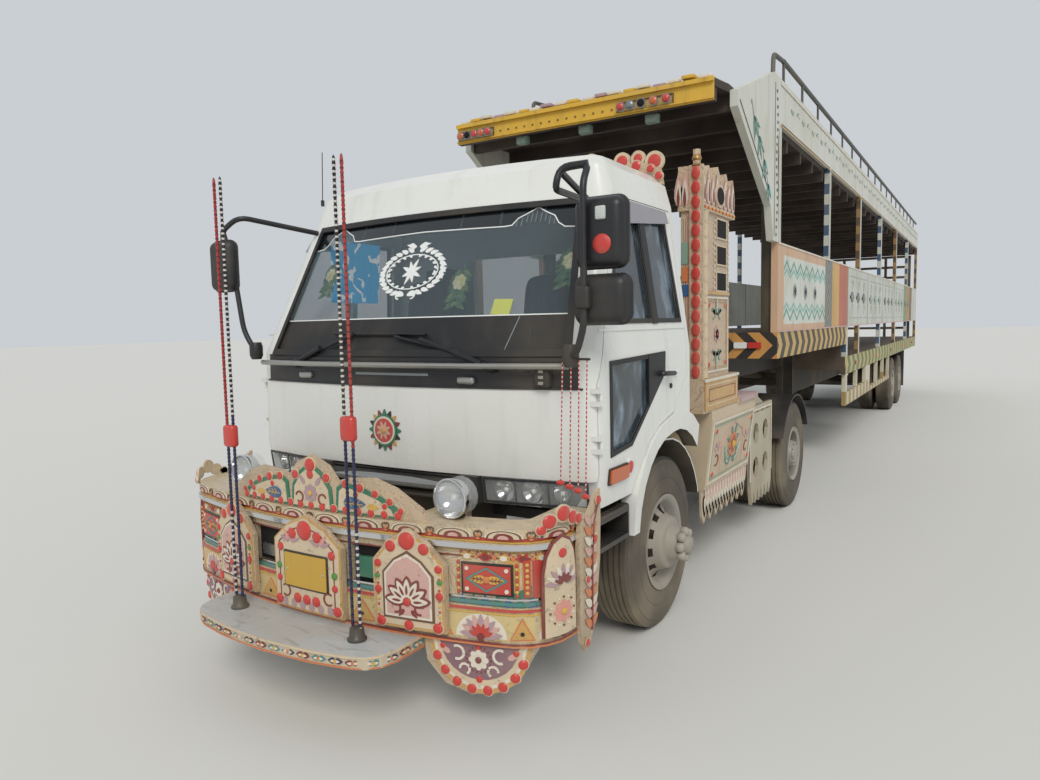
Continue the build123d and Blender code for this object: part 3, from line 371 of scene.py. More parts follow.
deck_paint = Finish("deck_paint", "#55483C", 0.7)
outside = abs(deck_paint.x) > OUTER_FACE
front_rail = deck_paint.station < RAIL_STEP
slant = abs(deck_paint.z - RAIL_MIDDLE) + deck_paint.station
stripe = (slant / 0.29 % 1) < 0.5
deck_paint.paint(outside * front_rail, "#C9A766").paint(outside * front_rail * stripe, "#443E39")
low_rail = deck_paint.station > RAIL_STEP
low_slant = abs(deck_paint.z - LOW_RAIL_MIDDLE) * 1.1 + deck_paint.station
deck_paint.paint(outside * low_rail, "#B9AE7A")
deck_paint.paint(outside * low_rail * ((low_slant / 0.42 % 1) < 0.5), "#6F7A4C")
nose_face = deck_paint.station < 3.8425
nose_stripe = ((abs(deck_paint.x) + abs(deck_paint.z - RAIL_MIDDLE)) / 0.22 % 1) < 0.5
deck_paint.paint(nose_face, "#2F2B28").paint(nose_face * nose_stripe, "#C8924E")
weather(deck_paint, dust=0.30, streaks=0.25, rough=0.55, dark="#4A3527")

BORDER_END, GREY_END, OCHRE_END, BRICK_END, PANEL_LENGTH = 6.15, 6.62, 7.12, 7.78, 1.95
belt_paint = Finish("belt_paint", "#C9CCC2", 0.5)
height, station = belt_paint.z, belt_paint.station
belt_paint.paint(station < BORDER_END, "#D0AB8B")
field = station.inside(4.08, BORDER_END) * height.inside(1.86, 2.50)
belt_paint.paint(field, "#D3D6CC")
for level, swing, pitch_length, colour in (
    (2.40, 0.10, 0.30, "#4F9A90"), (2.34, 0.07, 0.30, "#8CBBB2"),
    (1.95, 0.10, 0.30, "#4F9A90"), (2.02, 0.07, 0.30, "#8CBBB2"),
):
    wave = abs((station / pitch_length % 1) - 0.5) * swing * 2 + level - swing / 2
    belt_paint.paint(field * (abs(height - wave) < 0.018), colour)
grey_stripe = station.inside(BORDER_END, GREY_END)
herring = ((abs(station - 6.385) + height) / 0.12 % 1) < 0.4
belt_paint.paint(grey_stripe, "#6C6F6C").paint(grey_stripe * herring, "#8E918C")
for first, last, colour in ((GREY_END, OCHRE_END, "#D0A55C"), (OCHRE_END, BRICK_END, "#BC6450"),
                            (15.6, 16.1, "#6E9A72"), (16.1, 17.0, "#B48E58"), (17.0, 17.6, "#7A5A41")):
    belt_paint.paint(station.inside(first, last), colour)
panel_edge = ((station - BRICK_END) / PANEL_LENGTH % 1) < 0.035
belt_paint.paint((station > BRICK_END) * panel_edge, "#8B8F84")
weather(belt_paint, dust=0.30, streaks=0.35, rough=0.45, dark="#7B6F5E")

post_paint = Finish("post_paint", "#C8C9BF", 0.5)
check = (post_paint.z / 0.24 % 1) < 0.5
turn_colour = ((post_paint.station - 3.8) / 5.0 % 1) < 0.5
post_paint.paint(check * turn_colour, "#9A7748")
post_paint.paint((check * -1 + 1) * turn_colour, "#5B4733")
post_paint.paint(check * (turn_colour * -1 + 1), "#3E5A78")
post_paint.paint(abs(post_paint.x) > OUTER_FACE, "#C6C8BE")
weather(post_paint, dust=0.2, streaks=0.3, rough=0.45)

wing_paint = worn("wing_paint", "#D2D3C8", 0.45, dust=0.2, streaks=0.35, rough=0.4, dark="#8A7D68")
# The upper deck's dark brown is partly its own paint and partly painted shade, the shadow under the platform.
under_deck_brown_and_shade = Finish("under_deck_brown_and_shade", "#3A2F2A", 0.8)
front_lip = under_deck_brown_and_shade.station < 2.3015
under_deck_brown_and_shade.paint(front_lip, "#D9AE3C")
under_deck_brown_and_shade.paint((under_deck_brown_and_shade.z > 3.655) * under_deck_brown_and_shade.noise(2, detail=3).ease(0.4, 0.6), "#8A8170")
weather(under_deck_brown_and_shade, dust=0.2, streaks=0.2, rough=0.6, dark="#5F4634")
rail_paint = worn("rail_paint", "#4E4F4B", 0.5, dust=0.3, streaks=0.3, rough=0.45, dark="#6B4A33")
skirt_paint = Finish("skirt_paint", "#CFC9B2", 0.5)
skirt_check = (skirt_paint.station / 0.35 % 1) < 0.5
skirt_paint.paint((skirt_paint.z < 0.9) * skirt_check, "#A5884B")
weather(skirt_paint, dust=0.35, streaks=0.35, rough=0.5)
ramp_paint = worn("ramp_paint", "#5C5348", 0.6, dust=0.4, streaks=0.4, rough=0.55, dark="#6A4228")

# %% [markdown]
# ## Finishes meet the CAD nodes
# A node whose shape is right stays, and only its finish changes. This table gives each its own.

# %% Assign finishes to nodes
def marbled(name, colour, scale):
    """A ground that a fine brush has covered with curling lines, then years of dust."""
    finish = Finish(name, colour, 0.4, coat=0.1)
    curls = finish.noise(scale, detail=1.5, warp=1.3) * 15
    finish.paint((curls % 1).inside(0.0, 0.15) * 0.50, "#8C5546")
    finish.paint(((curls + 0.36) % 1).inside(0.0, 0.10) * 0.45, "#BE8E4F")
    finish.paint(((curls + 0.66) % 1).inside(0.0, 0.08) * 0.35, "#5F7F78")
    finish.emboss((curls % 1).ease(0.0, 0.3), 0.0012)
    return weather(finish, dust=0.28, streaks=0.22, rough=0.35)


bumper_ground = marbled("bumper_ground", "#D2C0A0", 5.0)
board_ground = marbled("board_ground", "#CDB79A", 7.0)
step_top = Finish("step_top", "#C3CACD", 0.5, metallic=0.1)
scuffs = step_top.noise(6, stretch=(1, 3, 1), detail=7, warp=0.8)
step_top.paint(scuffs.ease(0.54, 0.66) * 0.45, "#8A8B88")
step_top.paint(scuffs.ease(0.30, 0.42) * -0.5 + 0.5, "#DDE0DF")
step_top.paint(step_top.z < 0.452, "#CDBFA6")
weather(step_top, dust=0.2, streaks=0.0, rough=0.35)
tower_paint = marbled("tower_paint", "#CBB498", 4.0)
box_paint = worn("box_paint", "#C9B79C", 0.45, dust=0.35, streaks=0.35, rough=0.45)
tank_paint = worn("tank_paint", "#BDB6A2", 0.45, metallic=0.2, dust=0.4, streaks=0.3, rough=0.4)
rubber = worn("rubber", "#2B2825", 0.85, dust=0.45, streaks=0.0, rough=0.75, ground_dust=0.75)
wheel_paint = worn("wheel_paint", "#8E897E", 0.55, dust=0.5, streaks=0.2, rough=0.5)

node_finishes = {
    "tractor_frame": chassis_paint, "engine_block": casting, "front_axle": chassis_paint,
    "rear_axle": chassis_paint, "fifth_wheel": casting, "cab_floor": black_plastic,
    "cab_front": cab_white, "cab_back": cab_white, "cab_roof": cab_white, "cowl_panel": black_plastic,
    "cab_glass": cab_glass_finish, "dashboard": dash_plastic, "cab_seats": seat_cloth,
    "grille": black_plastic, "lamps": lamp_glass, "bumper_body": bumper_ground, "bumper_step": step_top,
    "bumper_boards": board_ground, "bumper_skirts": board_ground, "whip_rods": navy, "mirrors": black_plastic,
    "cab_steps": black_plastic, "front_mudguards": cab_white, "towers": tower_paint,
    "tool_boxes": box_paint, "fuel_tanks": tank_paint, "rear_mudguards": black_plastic,
    "roof_crest": board_ground, "knuckle_left": chassis_paint, "knuckle_right": chassis_paint,
    "tie_rod": chassis_paint, "door_left": cab_white, "door_right": cab_white,
    "door_glass_left": door_glass_finish, "door_glass_right": cab_glass_finish,
    "trailer_frame": chassis_paint, "trailer_axles": chassis_paint, "lower_deck": deck_paint,
    "side_posts": post_paint, "side_belts": belt_paint, "upper_deck": under_deck_brown_and_shade,
    "top_beams": wing_paint, "railings": rail_paint, "grab_rail": dull_steel,
    "nose_lamps": lamp_glass, "mud_flaps": black_plastic, "side_skirts": skirt_paint, "tail_ramp": ramp_paint,
}
for name, node in nodes.items():
    finish = node_finishes.get(name)
    if finish is None:
        finish = wheel_paint if "rim" in name else rubber
    node.data.materials.clear()
    node.data.materials.append(finish.material)

# %% [markdown]
# ## Helpers for meshes
# Wheels, lamps and knobs are turned shapes: a half outline is spun about an axle. Bars are round tubes that
# follow a line with softened corners. Boards are flat outlines that are raised a little and then laid on the
# curved face that carries them, so one ornament works on the bumper's nose and round its corners.

# %% Turn, bend, raise and lay
TO_FRONT = Matrix.Rotation(math.radians(-90), 4, "Z")
UPWARDS = Matrix.Rotation(math.radians(-90), 4, "Y")


def for_side(side):
    """Gives the turn that makes a shape drawn for the left-hand side fit its side."""
    return Matrix.Identity(4) if side > 0 else Matrix.Rotation(math.pi, 4, "Z")


def lathe(profile, steps):
    """Spins (along X, radius) points about the X axis into a bmesh."""
    mesh = bmesh.new()
    points = [mesh.verts.new((along, 0, radius)) for along, radius in profile]
    edges = [mesh.edges.new(pair) for pair in zip(points, points[1:])]
    bmesh.ops.spin(mesh, geom=points + edges, cent=(0, 0, 0), axis=(1, 0, 0), dvec=(0, 0, 0),
                   angle=math.tau, steps=steps, use_merge=True, use_duplicate=False)
    bmesh.ops.remove_doubles(mesh, verts=mesh.verts, dist=1e-5)
    bmesh.ops.recalc_face_normals(mesh, faces=mesh.faces)
    return mesh


def rounded_box(size, radius, segments=3):
    """Gives a box with softened edges about the origin."""
    mesh = bmesh.new()
    bmesh.ops.create_cube(mesh, size=1)
    bmesh.ops.scale(mesh, vec=size, verts=mesh.verts)
    bmesh.ops.bevel(mesh, geom=list(mesh.edges), offset=radius, segments=segments, profile=0.5,
                    affect="EDGES", material=-1, clamp_overlap=True)
    return mesh


def softened(points, bend):
    """Gives the points of a line whose corners are rounded."""
    line = [Vector(points[0])]
    for before, corner, after in zip(points, points[1:], points[2:]):
        before, corner, after = Vector(before), Vector(corner), Vector(after)
        reach = min(bend, (before - corner).length * 0.45, (after - corner).length * 0.45)
        start = corner + (before - corner).normalized() * reach
        end = corner + (after - corner).normalized() * reach
        for share in (0.0, 0.25, 0.5, 0.75, 1.0):
            line.append(start.lerp(corner, share).lerp(corner.lerp(end, share), share))
    line.append(Vector(points[-1]))
    return line


def bar(points, radius, bend=0.0, fineness=2):
    """Gives a bmesh of a round bar along a line."""
    curve = bpy.data.curves.new("bar", "CURVE")
    curve.dimensions = "3D"
    curve.bevel_depth = radius
    curve.bevel_resolution = fineness
    curve.use_fill_caps = True
    line = softened(points, bend) if bend else [Vector(point) for point in points]
    spline = curve.splines.new("POLY")
    spline.points.add(len(line) - 1)
    for point, place in zip(spline.points, line):
        point.co = (*place, 1)
    holder = bpy.data.objects.new("bar", curve)
    data = bpy.data.meshes.new_from_object(holder)
    mesh = bmesh.new()
    mesh.from_mesh(data)
    bmesh.ops.remove_doubles(mesh, verts=mesh.verts, dist=1e-6)
    bmesh.ops.recalc_face_normals(mesh, faces=mesh.faces)
    bpy.data.meshes.remove(data)
    bpy.data.objects.remove(holder)
    bpy.data.curves.remove(curve)
    return mesh


def merge(into, other, spot=None, turn=None, finish=0):
    """Copies a bmesh into another one, turned and set on a spot, with one finish number or its own."""
    if spot is not None:
        matrix = Matrix.Translation(spot) @ turn if turn else Matrix.Translation(spot)
        bmesh.ops.transform(other, matrix=matrix, verts=other.verts)
    if finish is not None:
        for face in other.faces:
            face.material_index = finish
    data = bpy.data.meshes.new("part")
    other.to_mesh(data)
    other.free()
    into.from_mesh(data)
    bpy.data.meshes.remove(data)
    return into


def place(name, mesh, body, finishes, slot, smooth=35, levels=0):
    """Makes a finished bmesh a piece that rides on a body."""
    data = bpy.data.meshes.new(name)
    mesh.to_mesh(data)
    mesh.free()
    for finish in finishes if isinstance(finishes, (list, tuple)) else [finishes]:
        data.materials.append(finish.material)
    data.shade_smooth()
    data.set_sharp_from_angle(angle=math.radians(smooth))
    made = bpy.data.objects.new(name, data)
    scene.collection.objects.link(made)
    if levels:
        rounding = made.modifiers.new("rounding", "SUBSURF")
        rounding.levels = rounding.render_levels = levels
    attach(made, body)
    return made


# %% [markdown]
# ## Faces that carry ornament
# Each function takes a place on a face, as the distance along it, the height and how far it stands out, and
# gives the point in space. The bumper's face runs along a wide arc, round a tight corner and back along the
# side, so its distance is measured along that line from the middle of the nose.

# %% The faces
BUMPER_NOSE, BUMPER_ARC, BUMPER_CORNER, HALF_WIDTH = -0.600, 3.9135, 0.240, 1.250
corner_x = HALF_WIDTH - BUMPER_CORNER
corner_station = BUMPER_NOSE + BUMPER_ARC - math.sqrt((BUMPER_ARC - BUMPER_CORNER) ** 2 - corner_x ** 2)
corner_turn = math.asin(corner_x / (BUMPER_ARC - BUMPER_CORNER))
FRONT_RUN = BUMPER_ARC * corner_turn
CORNER_RUN = FRONT_RUN + BUMPER_CORNER * (math.pi / 2 - corner_turn)


def on_bumper(along, height, out):
    """The bumper's face, out from its main wall."""
    side, run = math.copysign(1, along), abs(along)
    if run <= FRONT_RUN:
        turn, reach = run / BUMPER_ARC, BUMPER_ARC + out
        x, station = reach * math.sin(turn), BUMPER_NOSE + BUMPER_ARC - reach * math.cos(turn)
    elif run <= CORNER_RUN:
        turn, reach = corner_turn + (run - FRONT_RUN) / BUMPER_CORNER, BUMPER_CORNER + out
        x, station = corner_x + reach * math.sin(turn), corner_station - reach * math.cos(turn)
    else:
        x, station = HALF_WIDTH + out, corner_station + run - CORNER_RUN
    return Vector((side * x, at(station), height))


CAB_ROWS = ((0.96, 1.225, 0.025), (1.15, 1.245, 0.0), (1.75, 1.243, 0.012), (2.64, 1.120, 0.430),
            (2.78, 1.080, 0.470), (2.85, 1.000, 0.560))


def cab_at(height):
    """Gives the cab's half width and nose station at a height, and how steeply its front leans back."""
    for (low, wide_low, nose_low), (high, wide_high, nose_high) in zip(CAB_ROWS, CAB_ROWS[1:]):
        if height <= high:
            break
    share = (height - low) / (high - low)
    width = wide_low + (wide_high - wide_low) * share
    nose = nose_low + (nose_high - nose_low) * share
    return width, nose, (nose_high - nose_low) / (high - low)


def on_cab_front(x, height, out):
    """The cab's front wall and windscreen, out from the outer skin."""
    width, nose, slope = cab_at(height)
    tilt = math.atan(slope)
    front_x = width - 0.09
    station = nose + 0.108 * x * x / front_x
    return Vector((x, at(station - out * math.cos(tilt)), height + out * math.sin(tilt)))


def side_face(wall):
    """Gives the face function of a lengthwise wall at a given X, left- or right-hand by its sign."""
    def on_side(station, height, out):
        return Vector((wall + math.copysign(out, wall), at(station), height))
    return on_side


def front_face(station):
    """Gives the face function of a wall that looks forwards at a given station."""
    def on_front(x, height, out):
        return Vector((x, at(station - out), height))
    return on_front


# How far boards and lines reach into the face that carries them.
BOARD_SINK, LINE_SINK = 0.004, 0.003


class Relief:
    """A set of thin raised shapes on one face, joined into one piece with a finish for each colour."""

    def __init__(self, face, grain=0.06):
        self.mesh = bmesh.new()
        self.face = face
        self.grain = grain
        self.finishes = []

    def lay(self, shape, finish, turn=0.0, centre=(0.0, 0.0), slices=False):
        """Turns and moves a flat-drawn bmesh, lays it on the face and keeps it."""
        if finish not in self.finishes:
            self.finishes.append(finish)
        matrix = Matrix.Translation((*centre, 0)) @ Matrix.Rotation(math.radians(turn), 4, "Z")
        bmesh.ops.transform(shape, matrix=matrix, verts=shape.verts)
        if slices:
            low = min(v.co.x for v in shape.verts)
            high = max(v.co.x for v in shape.verts)
            cut = (math.floor(low / self.grain) + 1) * self.grain
            while cut < high - 1e-4:
                geometry = list(shape.verts) + list(shape.edges) + list(shape.faces)
                bmesh.ops.bisect_plane(shape, geom=geometry, plane_co=(cut, 0, 0), plane_no=(1, 0, 0))
                cut += self.grain
        for vertex in shape.verts:
            vertex.co = self.face(*vertex.co)
        bmesh.ops.recalc_face_normals(shape, faces=shape.faces)
        merge(self.mesh, shape, finish=self.finishes.index(finish))

    def raised(self, shape, height, dome=0.0):
        """Gives a flat face thickness, with its foot sunk in, and swells its middle if it is a lens."""
        base = list(shape.faces)
        bmesh.ops.translate(shape, verts=shape.verts, vec=(0, 0, -BOARD_SINK))
        grown = bmesh.ops.extrude_face_region(shape, geom=base)["geom"]
        top = [v for v in grown if isinstance(v, bmesh.types.BMVert)]
        bmesh.ops.translate(shape, verts=top, vec=(0, 0, height + BOARD_SINK))
        if dome:
            faces = [f for f in grown if isinstance(f, bmesh.types.BMFace)]
            for inset, lift in ((0.25, 0.6), (0.35, 0.3), (0.5, 0.1)):
                radius = max((v.co.xy - faces[0].calc_center_median().xy).length for v in faces[0].verts)
                bmesh.ops.inset_region(shape, faces=faces, thickness=radius * inset, depth=0)
                bmesh.ops.translate(shape, verts=list({v for f in faces for v in f.verts}),
                                    vec=(0, 0, dome * lift))
        return shape

    def disc(self, centre, radius, finish, height=0.006, squash=1.0, sides=16, dome=0.0):
        """A round or oval boss."""
        shape = bmesh.new()
        bmesh.ops.create_circle(shape, cap_ends=True, segments=sides, radius=radius)
        bmesh.ops.scale(shape, vec=(1, squash, 1), verts=shape.verts)
        self.lay(self.raised(shape, height, dome), finish, centre=centre)

    def petal(self, centre, length, width, turn, finish, height=0.004, point=1.0, sides=12):
        """A leaf with its root at the centre, its tip along the turn and a point as sharp as asked."""
        shape = bmesh.new()
        bmesh.ops.create_circle(shape, cap_ends=True, segments=sides, radius=0.5)
        for vertex in shape.verts:
            share = vertex.co.x + 0.5
            pinch = 1 - point * share ** 2
            vertex.co.y *= width * (pinch if share > 0.02 else 1) * 1.25
            vertex.co.x = share * length
        self.lay(self.raised(shape, height), finish, turn, centre)

    def block(self, low, high, finish, height=0.004, soft=0.0):
        """A straight-sided board between two corners, the lower one given first."""
        left, right = sorted((low[0], high[0]))
        shape = bmesh.new()
        bmesh.ops.create_grid(shape, x_segments=1, y_segments=1, size=0.5)
        bmesh.ops.scale(shape, vec=(right - left, high[1] - low[1], 1), verts=shape.verts)
        if soft:
            bmesh.ops.bevel(shape, geom=list(shape.verts), offset=soft, segments=3, profile=0.5,
                            affect="VERTICES", material=-1)
        centre = ((left + right) / 2, (low[1] + high[1]) / 2)
        self.lay(self.raised(shape, height), finish, 0, centre, slices=True)

    def board(self, points, finish, height=0.006, centre=(0.0, 0.0)):
        """A board with its own outline."""
        shape = bmesh.new()
        shape.faces.new([shape.verts.new((x, y, 0)) for x, y in points])
        self.lay(self.raised(shape, height), finish, 0, centre, slices=True)

    def stroke(self, points, width, finish, height=0.005, closed=False):
        """A raised line of one width through points."""
        shape = bmesh.new()
        verts = [shape.verts.new((x, y, -LINE_SINK)) for x, y in points]
        pairs = list(zip(verts, verts[1:] + verts[:1] if closed else verts[1:]))
        edges = [shape.edges.new(pair) for pair in pairs]
        grown = bmesh.ops.extrude_edge_only(shape, edges=edges)["geom"]
        top = [v for v in grown if isinstance(v, bmesh.types.BMVert)]
        bmesh.ops.translate(shape, verts=top, vec=(0, 0, height + LINE_SINK))
        bmesh.ops.recalc_face_normals(shape, faces=shape.faces)
        bmesh.ops.solidify(shape, geom=list(shape.faces), thickness=width)
        self.lay(shape, finish)

    def scroll(self, centre, radius, before, past, side, width, finish, height, steps=12):
        """A raised curl from some degrees before the top to some past it, mirrored by its side."""
        curl = arc_points(centre, radius, 90 - side * before, 90 + side * past, steps)
        self.stroke(curl, width, finish, height)

    def reflector(self, centre, radius, lens=None):
        """A round glass reflector in a cream holder."""
        self.disc(centre, radius * 1.22, cream, height=0.008)
        self.disc(centre, radius, lens or lens_red, height=0.012, dome=radius * 0.28)

    def done(self, name, slot="painted_board", body="tractor"):
        """Finishes the set as one piece."""
        return place(name, self.mesh, body, self.finishes, slot, smooth=28)


def ring(count, start=0.0):
    """Gives evenly spread turns in degrees."""
    return [start + 360.0 * step / count for step in range(count)]


def arc_points(centre, radius, start, end, count):
    """Gives points along an arc, in degrees."""
    turns = [math.radians(start + (end - start) * step / count) for step in range(count + 1)]
    return [(centre[0] + radius * math.cos(t), centre[1] + radius * math.sin(t)) for t in turns]


def oblong(left, low, right, high):
    """Gives the corners of an upright rectangle."""
    return [(left, low), (right, low), (right, high), (left, high)]


# %% [markdown]
# ## Wheels
# The steered wheels show best: dusty side walls, five grooves round the tread, a pale dished rim with ten
# hand holes and a hub that stands out with a ring of round-headed knobs. The tyre is one spun outline. The
# rim is spun too, a few faces are taken out for the hand holes, and a Solidify modifier gives it thickness.

# %% Tyres
tyre_tread = worn("tyre_tread", "#292725", 0.85, dust=0.30, streaks=0.0, rough=0.75, ground_dust=0.5)
tyre_wall = worn("tyre_wall", "#514B43", 0.85, dust=0.35, streaks=0.30, rough=0.75, dark="#37322C",
                 ground_dust=0.25)
TYRE_RADIUS, TYRE_WIDTH, BEAD = 0.535, 0.280, 0.262
groove_centres = (-0.068, -0.104, -0.140, -0.176, -0.212)


def tyre_mesh(outer_x, station, side):
    """One tyre, its outer side wall at a given X."""
    wall = [(-0.035, BEAD), (-0.024, 0.272), (-0.010, 0.285), (-0.008, 0.300), (-0.003, 0.304),
            (-0.001, 0.350), (-0.0, 0.390), (-0.004, 0.395), (-0.0, 0.402), (-0.002, 0.445),
            (-0.010, 0.485), (-0.016, 0.490), (-0.020, 0.512), (-0.034, TYRE_RADIUS - 0.003)]
    tread = []
    for centre in groove_centres:
        tread += [(centre + 0.007, TYRE_RADIUS), (centre + 0.005, TYRE_RADIUS - 0.011),
                  (centre - 0.005, TYRE_RADIUS - 0.011), (centre - 0.007, TYRE_RADIUS)]
    far_wall = [(-TYRE_WIDTH - x, radius) for x, radius in reversed(wall)]
    mesh = lathe(wall + tread + far_wall, 72)
    for face in mesh.faces:
        centre = face.calc_center_median()
        face.material_index = 0 if math.hypot(centre.y, centre.z) > 0.505 else 1
    middle = Vector((side * outer_x, at(station), TYRE_RADIUS))
    bmesh.ops.transform(mesh, matrix=Matrix.Translation(middle) @ for_side(side), verts=mesh.verts)
    return mesh


def join(meshes):
    """Joins bmeshes, each keeping its own finish numbers."""
    whole = bmesh.new()
    for mesh in meshes:
        merge(whole, mesh, finish=None)
    return whole


SIDES = {"left": 1, "right": -1}
FRONT_TYRE_OUTER, REAR_TYRE_OUTER, TWIN_GAP = 1.190, 1.230, 0.060
FRONT_AXLE, REAR_AXLE, TRAILER_AXLES = 1.180, 4.710, (13.950, 15.270)
inner_twin = REAR_TYRE_OUTER - TYRE_WIDTH - TWIN_GAP
for name, side in SIDES.items():
    tyre = place(f"front_tyre_dusty_{name}", tyre_mesh(FRONT_TYRE_OUTER, FRONT_AXLE, side),
                 f"front_wheel_{name}", [tyre_tread, tyre_wall], "tyre_rubber")
    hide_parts(f"front_tyre_{name}")
    pair = join([tyre_mesh(x, REAR_AXLE, side) for x in (REAR_TYRE_OUTER, inner_twin)])
    tyres = place(f"rear_tyres_dusty_{name}", pair, f"rear_wheels_{name}", [tyre_tread, tyre_wall],
                  "tyre_rubber")
    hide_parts(f"rear_tyres_{name}")

# %% Rims
rim_grey = worn("rim_grey", "#95928B", 0.5, dust=0.22, streaks=0.25, rough=0.42, dark="#6B5D4B",
                ground_dust=0.35)
hub_grey = worn("hub_grey", "#A3A099", 0.5, dust=0.22, streaks=0.25, rough=0.45, dark="#6A5E4E",
                ground_dust=0.3)
front_rim_outline = (
    (-0.245, 0.258), (-0.245, 0.252), (-0.050, 0.252), (-0.040, 0.262), (-0.014, 0.288), (-0.004, 0.290),
    (-0.005, 0.278), (-0.022, 0.256), (-0.056, 0.246), (-0.064, 0.234), (-0.056, 0.212), (-0.036, 0.188),
    (-0.010, 0.170), (0.016, 0.160), (0.034, 0.154), (0.040, 0.146), (0.040, 0.112), (0.046, 0.104),
    (0.096, 0.098), (0.104, 0.090), (0.104, 0.062), (0.112, 0.056), (0.160, 0.048), (0.172, 0.036),
    (0.175, 0.0),
)
twin_rim_outline = (
    (-0.050, 0.250), (-0.036, 0.262), (-0.020, 0.272), (-0.010, 0.266), (-0.022, 0.240), (-0.150, 0.236),
    (-0.285, 0.230), (-0.300, 0.222), (-0.304, 0.205), (-0.306, 0.178), (-0.304, 0.158), (-0.290, 0.146),
    (-0.120, 0.138), (-0.030, 0.128), (-0.014, 0.120), (-0.010, 0.098), (0.006, 0.092), (0.010, 0.080),
    (0.010, 0.0),
)


def rim_mesh(outline, holes, rows, outer_x, station, side, knobs):
    """A dished rim with hand holes between two radii, and knobs or nuts round its hub."""
    mesh = lathe(outline, holes * 4)
    low, high = rows
    opened = []
    for face in mesh.faces:
        centre = face.calc_center_median()
        radius = math.hypot(centre.y, centre.z)
        sector = math.degrees(math.atan2(centre.z, centre.y)) % 360 / (360 / (holes * 4))
        if low < radius < high and centre.x < 0 and sector % 4 < 2 and abs(face.normal.x) > 0.25:
            opened.append(face)
    bmesh.ops.delete(mesh, geom=opened, context="FACES")
    bmesh.ops.solidify(mesh, geom=list(mesh.faces), thickness=0.007)
    ring_radius, start, end, radius, count = knobs
    for turn in ring(count):
        knob = lathe(((start, 0), (start, radius * 0.72), (end - radius * 1.6, radius * 0.72),
                      (end - radius * 1.3, radius), (end - radius * 0.6, radius),
                      (end - radius * 0.2, radius * 0.8), (end, radius * 0.4), (end, 0)), 12)
        angle = math.radians(turn)
        middle = Vector((0, ring_radius * math.cos(angle), ring_radius * math.sin(angle)))
        merge(mesh, knob, middle, finish=1)
    middle = Vector((side * outer_x, at(station), TYRE_RADIUS))
    bmesh.ops.transform(mesh, matrix=Matrix.Translation(middle) @ for_side(side), verts=mesh.verts)
    return mesh


# Each row: radius of the ring, its two ends along the axle, radius of one knob, their count.
front_knobs = (0.080, 0.080, 0.158, 0.030, 8)
rear_nuts = (0.112, -0.020, 0.012, 0.013, 10)
FRONT_HOLES, REAR_HOLES = (0.176, 0.232), (0.165, 0.215)
for name, side in SIDES.items():
    rim = place(f"front_rim_worn_{name}",
                rim_mesh(front_rim_outline, 10, FRONT_HOLES, FRONT_TYRE_OUTER, FRONT_AXLE, side, front_knobs),
                f"front_wheel_{name}", [rim_grey, hub_grey], "rim_paint", smooth=50)
    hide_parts(f"front_rim_{name}")
    rim = place(f"rear_rims_worn_{name}",
                rim_mesh(twin_rim_outline, 8, REAR_HOLES, REAR_TYRE_OUTER, REAR_AXLE, side, rear_nuts),
                f"rear_wheels_{name}", [rim_grey, hub_grey], "rim_paint", smooth=50)
    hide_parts(f"rear_rims_{name}")
    for number, axle in enumerate(TRAILER_AXLES, 1):
        tyres = [tyre_mesh(x, axle, side) for x in (REAR_TYRE_OUTER, inner_twin)]
        rims = rim_mesh(twin_rim_outline, 8, REAR_HOLES, REAR_TYRE_OUTER, axle, side, rear_nuts)
        for face in rims.faces:
            face.material_index += 2
        wheel = place(f"trailer_wheels_dusty_{number}_{name}", join(tyres + [rims]),
                      f"trailer_wheels_{number}_{name}", [tyre_tread, tyre_wall, rim_grey, hub_grey],
                      "twin_wheel", smooth=40)
        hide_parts(f"trailer_wheels_{number}_{name}")

# %% Darken the inside of the front arches
# The mudguards are white outside and dark brown where they face the wheel.
arches = nodes["front_mudguards"].data
arches.materials.append(worn("arch_lining", "#38322C", 0.8, dust=0.35, streaks=0.2, rough=0.7).material)
for face in arches.polygons:
    from_axle = Vector((0, face.center.y - at(FRONT_AXLE), face.center.z - TYRE_RADIUS))
    if abs(face.center.x) < 1.160 or (abs(face.normal.x) < 0.5 and face.normal.dot(from_axle) < 0):
        face.material_index = 1

# %% [markdown]
# ## Small helpers for ornament
# The painters repeat a few motifs: a row of anything, a fan of petals, a border round a board and a leaf with
# veins. Each becomes a function here, so that a board is described in a dozen short lines.

# %% Rows, fans, leaves and borders
def spread(first, last, count):
    """Gives evenly spaced numbers from first to last."""
    return [first + (last - first) * step / max(count - 1, 1) for step in range(count)]


def fan(relief, centre, radii, turns, width, finishes, height=0.004, point=0.9):
    """A fan of petals about a centre, their finishes taken in turn."""
    near, far = radii
    for number, turn in enumerate(turns):
        angle = math.radians(turn)
        root = (centre[0] + near * math.cos(angle), centre[1] + near * math.sin(angle))
        relief.petal(root, far - near, width, turn, finishes[number % len(finishes)], height, point)


def leaf(relief, root, length, turn, finish, vein, width=0.36, height=0.006):
    """A leaf with a raised midrib and slanted veins."""
    relief.petal(root, length, length * width, turn, finish, height, point=0.75)
    angle = math.radians(turn)
    along, across = Vector((math.cos(angle), math.sin(angle))), Vector((-math.sin(angle), math.cos(angle)))
    base = Vector(root)
    relief.stroke([base + along * length * 0.06, base + along * length * 0.9], 0.004, vein, height + 0.003)
    for share in (0.25, 0.45, 0.65):
        for side in (1, -1):
            start = base + along * length * share
            end = start + along * length * 0.13 + across * side * length * width * 0.3
            relief.stroke([start, end], 0.003, vein, height + 0.002)


def flower(relief, centre, radius, petals, heart, count=6, height=0.006):
    """A round blossom."""
    for turn in ring(count, 90):
        relief.petal(centre, radius, radius * 0.62, turn, petals, height, point=0.25)
    relief.disc(centre, radius * 0.3, heart, height + 0.005, dome=radius * 0.1, sides=12)


def beads(relief, points, radius, finishes, height=0.008):
    """A string of round beads."""
    for number, point in enumerate(points):
        relief.disc(point, radius, finishes[number % len(finishes)], height, sides=8, dome=radius * 0.4)


